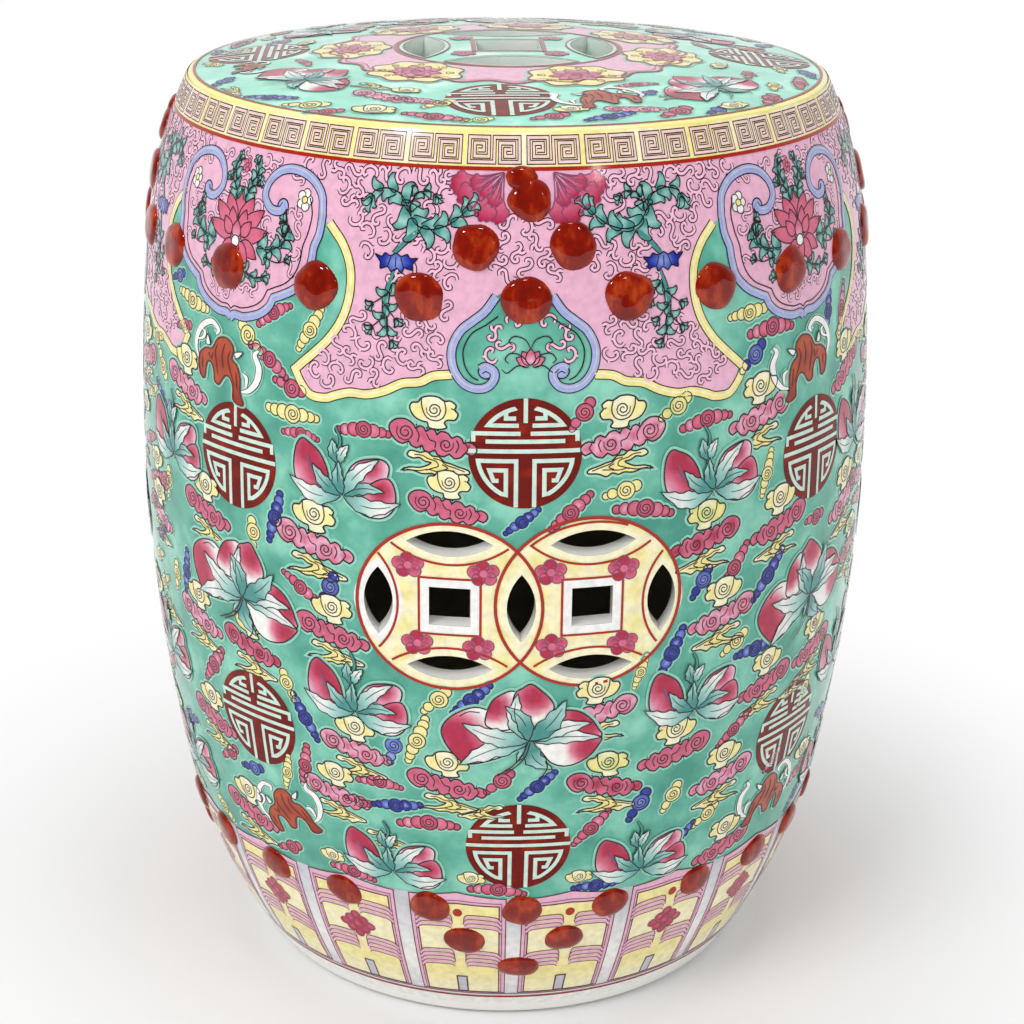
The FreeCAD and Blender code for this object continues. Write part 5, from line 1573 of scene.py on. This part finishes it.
def ruyiFlowers():
    made = {"lotus": lotus(), "floret": floret("white", "yellow"), "roseFloret": floret("rose", "rose")}
    art = []
    for hand in (1.0, -1.0):
        twig(art, wide([(hand * 4.6, 402.0), (hand * 8.0, 404.0), (hand * 10.6, 410.0), (hand * 9.6, 414.6)]))
        twig(art, wide([(hand * 0.8, 421.0), (hand * 1.4, 428.0), (hand * 3.0, 434.0), (hand * 2.4, 439.4)]))
        twig(art, wide([(hand * 1.0, 393.0), (hand * 4.0, 389.0), (hand * 6.4, 390.0)]), width=1.1)
    for hand in (1.0, -1.0):
        for path, reach, count in (([(4.4, 402.6), (7.4, 403.4), (9.6, 407.0), (9.4, 411.6)], 8.0, 4),
                ([(9.4, 409.0), (10.4, 413.6), (9.4, 416.6)], 6.0, 2),
                ([(0.9, 421.0), (1.5, 426.0), (3.2, 430.0)], 6.2, 3),
                ([(1.6, 428.6), (2.6, 433.6), (2.0, 438.4)], 5.6, 3),
                ([(1.2, 393.0), (4.0, 389.6), (6.6, 390.6)], 6.4, 3),
                ([(6.0, 399.6), (8.6, 398.2), (10.4, 400.0)], 5.0, 2)):
            art += frond(wide(path) * [hand, 1.0], reach, count)
    items = (("lotus", 0.0, 408.0, 1.0), ("floret", -12.3, 425.0, 0.9), ("floret", 12.4, 426.4, 0.9),
             ("roseFloret", -0.2, 436.0, 0.6))
    avoid = [disc(17.0, 20, 0, 407.0, 0.7), disc(5, 10, -12.3 * degree, 425.0),
             disc(5, 10, 12.4 * degree, 426.0)]
    for hand in (1.0, -1.0):
        for r, count, a, z, tall in ((6, 12, 9.4, 409.0, 1.2), (4.5, 12, 2.4, 430.0, 2.2),
                (9.5, 14, 7.6, 391.5, 1.0), (4.5, 10, 3.6, 391.0, 1.0), (8.6, 14, 7.6, 427.0, 1.35)):
            avoid.append(disc(r, count, hand * a * degree, z, tall))
    half = np.vstack([smooth(wide([(-4.4, 442.0), (-8.6, 441.0), (-11.6, 437.0), (-13.0, 430.0),
            (-13.2, 421.0)]))[:-1],
            smooth(wide([(-13.2, 421.0), (-12.6, 407.0), (-12.0, 397.0), (-9.6, 389.4), (-6.0, 383.0),
                         (-4.0, 378.6), (0.0, 376.0)]))])
    region = np.vstack([half, (half * [-1, 1])[::-1][1:]])
    for x in (46.3, -46.0):
        lay("wall", art, x, 0.0, raw=True, copies=halves)
        for name, a, z, size in items:
            lay("wall", made[name], x + a, z, size=size, copies=halves)
        scrollFill(region, avoid, x, 6.2, halves, 0.66)


def footBlossoms():
    art = []
    stacked(art, [(disc(r, 14, x, y, tall), glow((x, y), r * 1.3, ("rose", "crimson", "crimson")))
                  for r, x, y, tall in ((3.7, 7.4, 0, 0.8), (3.7, -7.4, 0, 0.8), (3.0, 0, 7.0, 1.1),
                          (3.0, 0, -7.0, 1.1), (3.3, 4.0, 3.6, 1.0), (3.3, -4.0, 3.6, 1.0),
                          (3.3, 4.0, -3.6, 1.0), (3.3, -4.0, -3.6, 1.0), (3.4, 0, 0, 1.0))], 3, 3.0, 0.45,
                          "mauve")
    for a in map(footAngle, range(footForm["count"])):
        if min(abs((a + s * bossForm["pairs"][1] + 45.0) % 90.0 - 45.0) for s in (-1, 1)) > 5.0:
            lay("wall", art, a, 61.0, size=0.88)


lappetFlowers()
ruyiFlowers()
footBlossoms()
print("wall painted")


# the seat, drawn as seen from above with the front at the bottom
def ringPoints(radius, count=90, wave=0.0, waves=0):
    t = np.linspace(0, math.tau, count, endpoint=False)
    r = radius + wave * np.cos(waves * t)
    return np.stack([r * np.sin(t), -r * np.cos(t)], 1)


def seatBlossom():
    art, shapes = [], []
    for a in np.linspace(0.4, 0.4 + math.tau, 6)[:-1]:
        x, y = 3.3 * math.cos(a), 3.2 * math.sin(a)
        shapes.append((disc(3.0, 12, x, y), glow((x, y), 3.4, ("crimson", "crimson", "rose"))))
    stacked(art, shapes + [(disc(1.6, 10), "rose")], 2, 3.0, 0.45, "mauve")
    return art


def cartouche():
    t = np.linspace(0, math.tau, 64, endpoint=False)
    r = 1.0 + 0.075 * np.cos(8 * t) + 0.02 * np.cos(3 * t)
    loop = np.stack([21.0 * r * np.cos(t), 16.5 * r * np.sin(t)], 1)
    art = []
    line(art, loop, 3.4, "paleTurquoise", True, 1)
    stacked(art, [(loop, glow((0, 0), 23.0, ("paleYellow", "yellow", "yellow", "paleYellow")))], 2, 5.0, 0.9,
            "rust")
    for a in range(8):
        c = math.tau * (a + 0.5) / 8
        line(art, curl(15.8 * math.cos(c), 12.4 * math.sin(c), 2.3, 1.3, c + 2.0), 0.5, "brownInk", level=4,
             ends=0.6)
    shapes = [petal(12.5, 7.6, a, 0, 0, ("pink", "rose", "crimson"))
              for a in (8, 52, 90, 128, 172, 212, 250, 290, 328)]
    shapes += [petal(8.0, 6.2, a, 0, 0, ("rose", "deepPink", "crimson")) for a in (30, 102, 174, 246, 318)]
    squashed = [(loop * [1.0, 0.82], tone) for loop, tone in shapes]
    stacked(art, squashed + [(disc(2.4, 10), "crimson")], 4, 4.0, 0.5, "mauve")
    return art


def around(angle, radius):
    return radius * math.sin(math.radians(angle)), -radius * math.cos(math.radians(angle))


seatGrowing = (
    ("cluster", -96.0, -66.0, -52, 0.82), ("cluster", 92.0, -80.0, 50, 0.82), ("bat", -124.0, -26.0, -78, 0.62),
    ("bat", 38.0, -108.0, 16, 0.95, 1), ("blueShort", -134.0, -52.0, 40, 0.9),
    ("blue", -111.0, -92.0, -40, 0.9), ("snail", -92.0, -110.0, -36, 1.1),
    ("bankPink", -60.0, -103.0, -28, 0.92), ("puff", -64.0, -124.0, -20, 1.05),
    ("rose", -38.0, -137.0, -40, 1.05), ("wisp", -64.0, -86.0, -30, 0.8), ("roseShort", 14.0, -138.0, 4, 0.95),
    ("blue", 38.0, -137.0, 16, 0.9), ("roseFlat", 54.0, -84.0, 28, 0.7), ("blueShort", 59.0, -98.0, 30, 0.72),
    ("roseShort", 70.0, -124.0, 30, 1.1), ("roseShort", 116.0, -91.0, 50, 1.05),
    ("rose", 135.0, -54.0, 66, 0.9), ("snail", 121.0, -66.0, 60, 0.8), ("blueShort", 143.0, -28.0, 78, 0.9),
    ("puff", 96.0, -110.0, 42, 0.8), ("wisp", -128.0, -74.0, -60, 0.7), ("snail", -143.0, -8.0, -80, 0.8),
    ("roseFlat", -98.0, -26.0, -70, 0.62), ("puff", 100.0, -32.0, 70, 0.7), ("wisp", 72.0, -100.0, 34, 0.7),
    ("snailLime", -18.0, -143.0, -6, 0.75), ("puff", -50.0, -96.0, -20, 0.7), ("snail", -34.0, -118.0, 12, 0.9),
    ("bankPink", -44.0, -112.0, -16, 0.7), ("roseShort", -84.0, -122.0, -30, 0.9),
    ("puff", 22.0, -128.0, 12, 0.8), ("bankPink", 50.0, -124.0, 20, 0.75), ("blueShort", 88.0, -118.0, 34, 0.8),
    ("roseShort", 112.0, -46.0, 60, 0.8), ("snail", 130.0, -24.0, 70, 0.8),
    ("bluePale", -116.0, 42.0, -110, 0.85), ("rose", -132.0, 60.0, -118, 0.95),
    ("roseShort", 112.0, 38.0, 108, 0.8),
)


def seatPainting():
    art = []
    long, narrow = seatForm["lens"]

    def pinkish(p):
        return blend(("pink", "pink", "deepPink"),
                     0.25 + 0.25 * np.sin(p[:, 0] * 0.09) * np.cos(p[:, 1] * 0.08))

    paint(art, [ringPoints(84.5, 168, 2.4, 21), ringPoints(55.0)], pinkish, 0, 6.0)
    for ring, width, tone in ((ringPoints(84.8, 168, 2.4, 21), 1.6, "rust"),
                              (ringPoints(81.6, 168, 2.2, 21), 0.6, "deepPink"),
                              (ringPoints(55.0), 1.8, "rust"),
                              (squareOutline(seatForm["square"] + 3.0), 2.2, "rust"),
                              (ringPoints(152.4, 200), 1.4, "rust")):
        line(art, ring, width, tone, True, 3)
    for side in (-1.0, 1.0):
        for upright in (False, True):
            middle = np.array([upright, not upright]) * side * seatForm["reach"]
            lens, hole = [np.array(lensOutline(long + grow, narrow + grow, upright, 30)) + middle
                          for grow in (4.0, 0.0)]
            paint(art, [lens, hole], "aqua", 1)
            line(art, lens, 0.9, "rust", True, 3)
    lay("seat", art)
    for turn in (45, 135, 225, 315):
        x, y = around(turn, 31.5)
        lay("seat", seatBlossom(), x, y, turn)
    frameArt = cartouche()
    for angle in (-143.7, -90.5, -36.5, 22.1, 75.7, 121.4, 170.0):
        x, y = around(angle, 76.0)
        lay("seat", frameArt, x, y, angle, 1.1)
    medal = fretRoundel()
    for x, y, turn in ((-8.0, -113.0, 0), (-122.0, 12.0, -90), (124.0, 2.0, 90), (8.0, 113.0, 180)):
        lay("seat", medal, x, y, turn)
    for name, x, y, turn, size, *mirror in seatGrowing:
        lay("seat", masters[name], x, y, turn, size, bool(mirror))
        if y < -20.0:
            lay("seat", masters[name], -x, -y, turn + 180.0, size, bool(mirror))


seatPainting()
print("seat painted")
raiseEnamel()


# studio, in metres and watts
studio = {
    "fade": (0.17, 0.46),  # how far from the stool the floor turns white
    "soft": 0.58,  # the white room as a light
    "mirrored": (0.1, 0.85),  # the room as the glaze shows it, before the stool and behind it
}
lamps = (  # name, place, height aimed at, size, watts, and True if it shows only as a glint in the glaze
    ("softKey", (-1.3, -1.5, 1.9), 0.25, (1.2, 1.2), 29.0, False),
    ("softFill", (1.8, -1.6, 1.2), 0.22, (1.2, 1.6), 9.0, False),
    ("ceiling", (0.0, 0.1, 2.4), 0.4, (1.6, 1.2), 12.0, False),
    ("glintLeft", (-1.1, -1.3, 1.9), 0.3, (0.3, 0.22), 11.0, True),
    ("glintRight", (0.9, -1.7, 1.5), 0.3, (0.1, 0.16), 1.1, True),
    ("glintHigh", (0.1, -0.9, 2.4), 0.4, (0.3, 0.12), 6.0, True),
)


def studioFloor():
    # a plain pale floor that turns into plain white away from the stool's shadow
    deselectAll()
    bpy.ops.mesh.primitive_plane_add(size=14.0, location=(0.0, 0.0, -0.0005))
    floor = bpy.context.object
    floor.name = "floor"
    made, nodes, links, shader = newMaterial("paleFloor")
    shader.inputs["Base Color"].default_value = (0.9, 0.9, 0.9, 1.0)
    shader.inputs["Roughness"].default_value = 0.95
    shader.inputs["Specular IOR Level"].default_value = 0.0
    place = addNode(nodes, "TexCoord")
    away = addNode(nodes, "VectorMath")
    away.operation = "LENGTH"
    fade = addNode(nodes, "MapRange", From_Min=studio["fade"][0], From_Max=studio["fade"][1])
    fade.interpolation_type = "SMOOTHSTEP"
    ray = addNode(nodes, "LightPath")
    either, through, seen = [addNode(nodes, "Math") for i in range(3)]
    either.operation = through.operation = "MAXIMUM"
    seen.operation = "MULTIPLY"
    glowing = addNode(nodes, "Emission")
    both = addNode(nodes, "MixShader")
    links.new(place.outputs["Object"], away.inputs[0])
    links.new(away.outputs["Value"], fade.inputs["Value"])
    links.new(fade.outputs["Result"], seen.inputs[0])
    links.new(ray.outputs["Is Camera Ray"], either.inputs[0])
    links.new(ray.outputs["Is Glossy Ray"], either.inputs[1])
    links.new(either.outputs[0], through.inputs[0])
    links.new(ray.outputs["Is Transmission Ray"], through.inputs[1])
    links.new(through.outputs[0], seen.inputs[1])
    links.new(seen.outputs[0], both.inputs["Fac"])
    links.new(shader.outputs[0], both.inputs[1])
    links.new(glowing.outputs[0], both.inputs[2])
    links.new(both.outputs[0], nodes["Material Output"].inputs["Surface"])
    floor.data.materials.append(made)


def studioLight(name, place, aimed, size, power, glint):
    lamp = bpy.data.lights.new(name, "AREA")
    lamp.shape = "RECTANGLE"
    lamp.size, lamp.size_y = size
    lamp.energy = power
    holder = bpy.data.objects.new(name, lamp)
    bpy.context.collection.objects.link(holder)
    holder.location = place
    holder.visible_glossy, holder.visible_diffuse = glint, not glint
    holder.rotation_euler = (Vector((0.0, 0.0, aimed)) - Vector(place)).to_track_quat("-Z", "Y").to_euler()


def whiteWorld():
    # white to the camera, soft as a light, and in the glaze bright behind the stool but dark before it
    world = bpy.data.worlds.new("studio")
    bpy.context.scene.world = world
    world.use_nodes = True
    nodes, links = world.node_tree.nodes, world.node_tree.links
    back = nodes["Background"]
    ray = addNode(nodes, "LightPath")
    either, strongest = [addNode(nodes, "Math") for i in range(2)]
    either.operation = strongest.operation = "MAXIMUM"
    room = addNode(nodes, "TexCoord")
    axes = addNode(nodes, "SeparateXYZ")
    before, behind = studio["mirrored"]
    depth = addNode(nodes, "MapRange", From_Min=-0.5, From_Max=0.6, To_Min=before, To_Max=behind)
    depth.interpolation_type = "SMOOTHSTEP"
    links.new(room.outputs["Generated"], axes.inputs[0])
    links.new(axes.outputs["Y"], depth.inputs["Value"])
    level = addNode(nodes, "Mix")
    level.data_type = "FLOAT"
    level.inputs["A"].default_value = studio["soft"]
    links.new(depth.outputs["Result"], level.inputs["B"])
    links.new(ray.outputs["Is Camera Ray"], either.inputs[0])
    links.new(ray.outputs["Is Transmission Ray"], either.inputs[1])
    links.new(ray.outputs["Is Glossy Ray"], level.inputs["Factor"])
    links.new(either.outputs[0], strongest.inputs[0])
    links.new(level.outputs["Result"], strongest.inputs[1])
    links.new(strongest.outputs[0], back.inputs["Strength"])
    back.inputs["Color"].default_value = (1.0, 1.0, 1.0, 1.0)


cameraForm = {"eye": (-0.0485, -1.0674, 0.6434), "aim": (0.0, 0.0, 0.20806), "roll": 0.00968, "sensor": 36.0,
              "lens": 75.9, "shift": (0.00858, 0.0288)}


def photoCamera():
    data = bpy.data.cameras.new("camera")
    holder = bpy.data.objects.new("camera", data)
    bpy.context.collection.objects.link(holder)
    eye, aim = Vector(cameraForm["eye"]), Vector(cameraForm["aim"])
    tilt = (aim - eye).to_track_quat("-Z", "Y").to_matrix() @ Matrix.Rotation(cameraForm["roll"], 3, "Z")
    holder.matrix_world = Matrix.Translation(eye) @ tilt.to_4x4()
    data.sensor_width = cameraForm["sensor"]
    data.lens = cameraForm["lens"]
    data.shift_x, data.shift_y = cameraForm["shift"]
    data.clip_end = 50.0
    bpy.context.scene.camera = holder


studioFloor()
whiteWorld()
for lamp in lamps:
    studioLight(*lamp)
photoCamera()
bpy.context.scene.view_settings.view_transform = "Standard"
print("studio set")
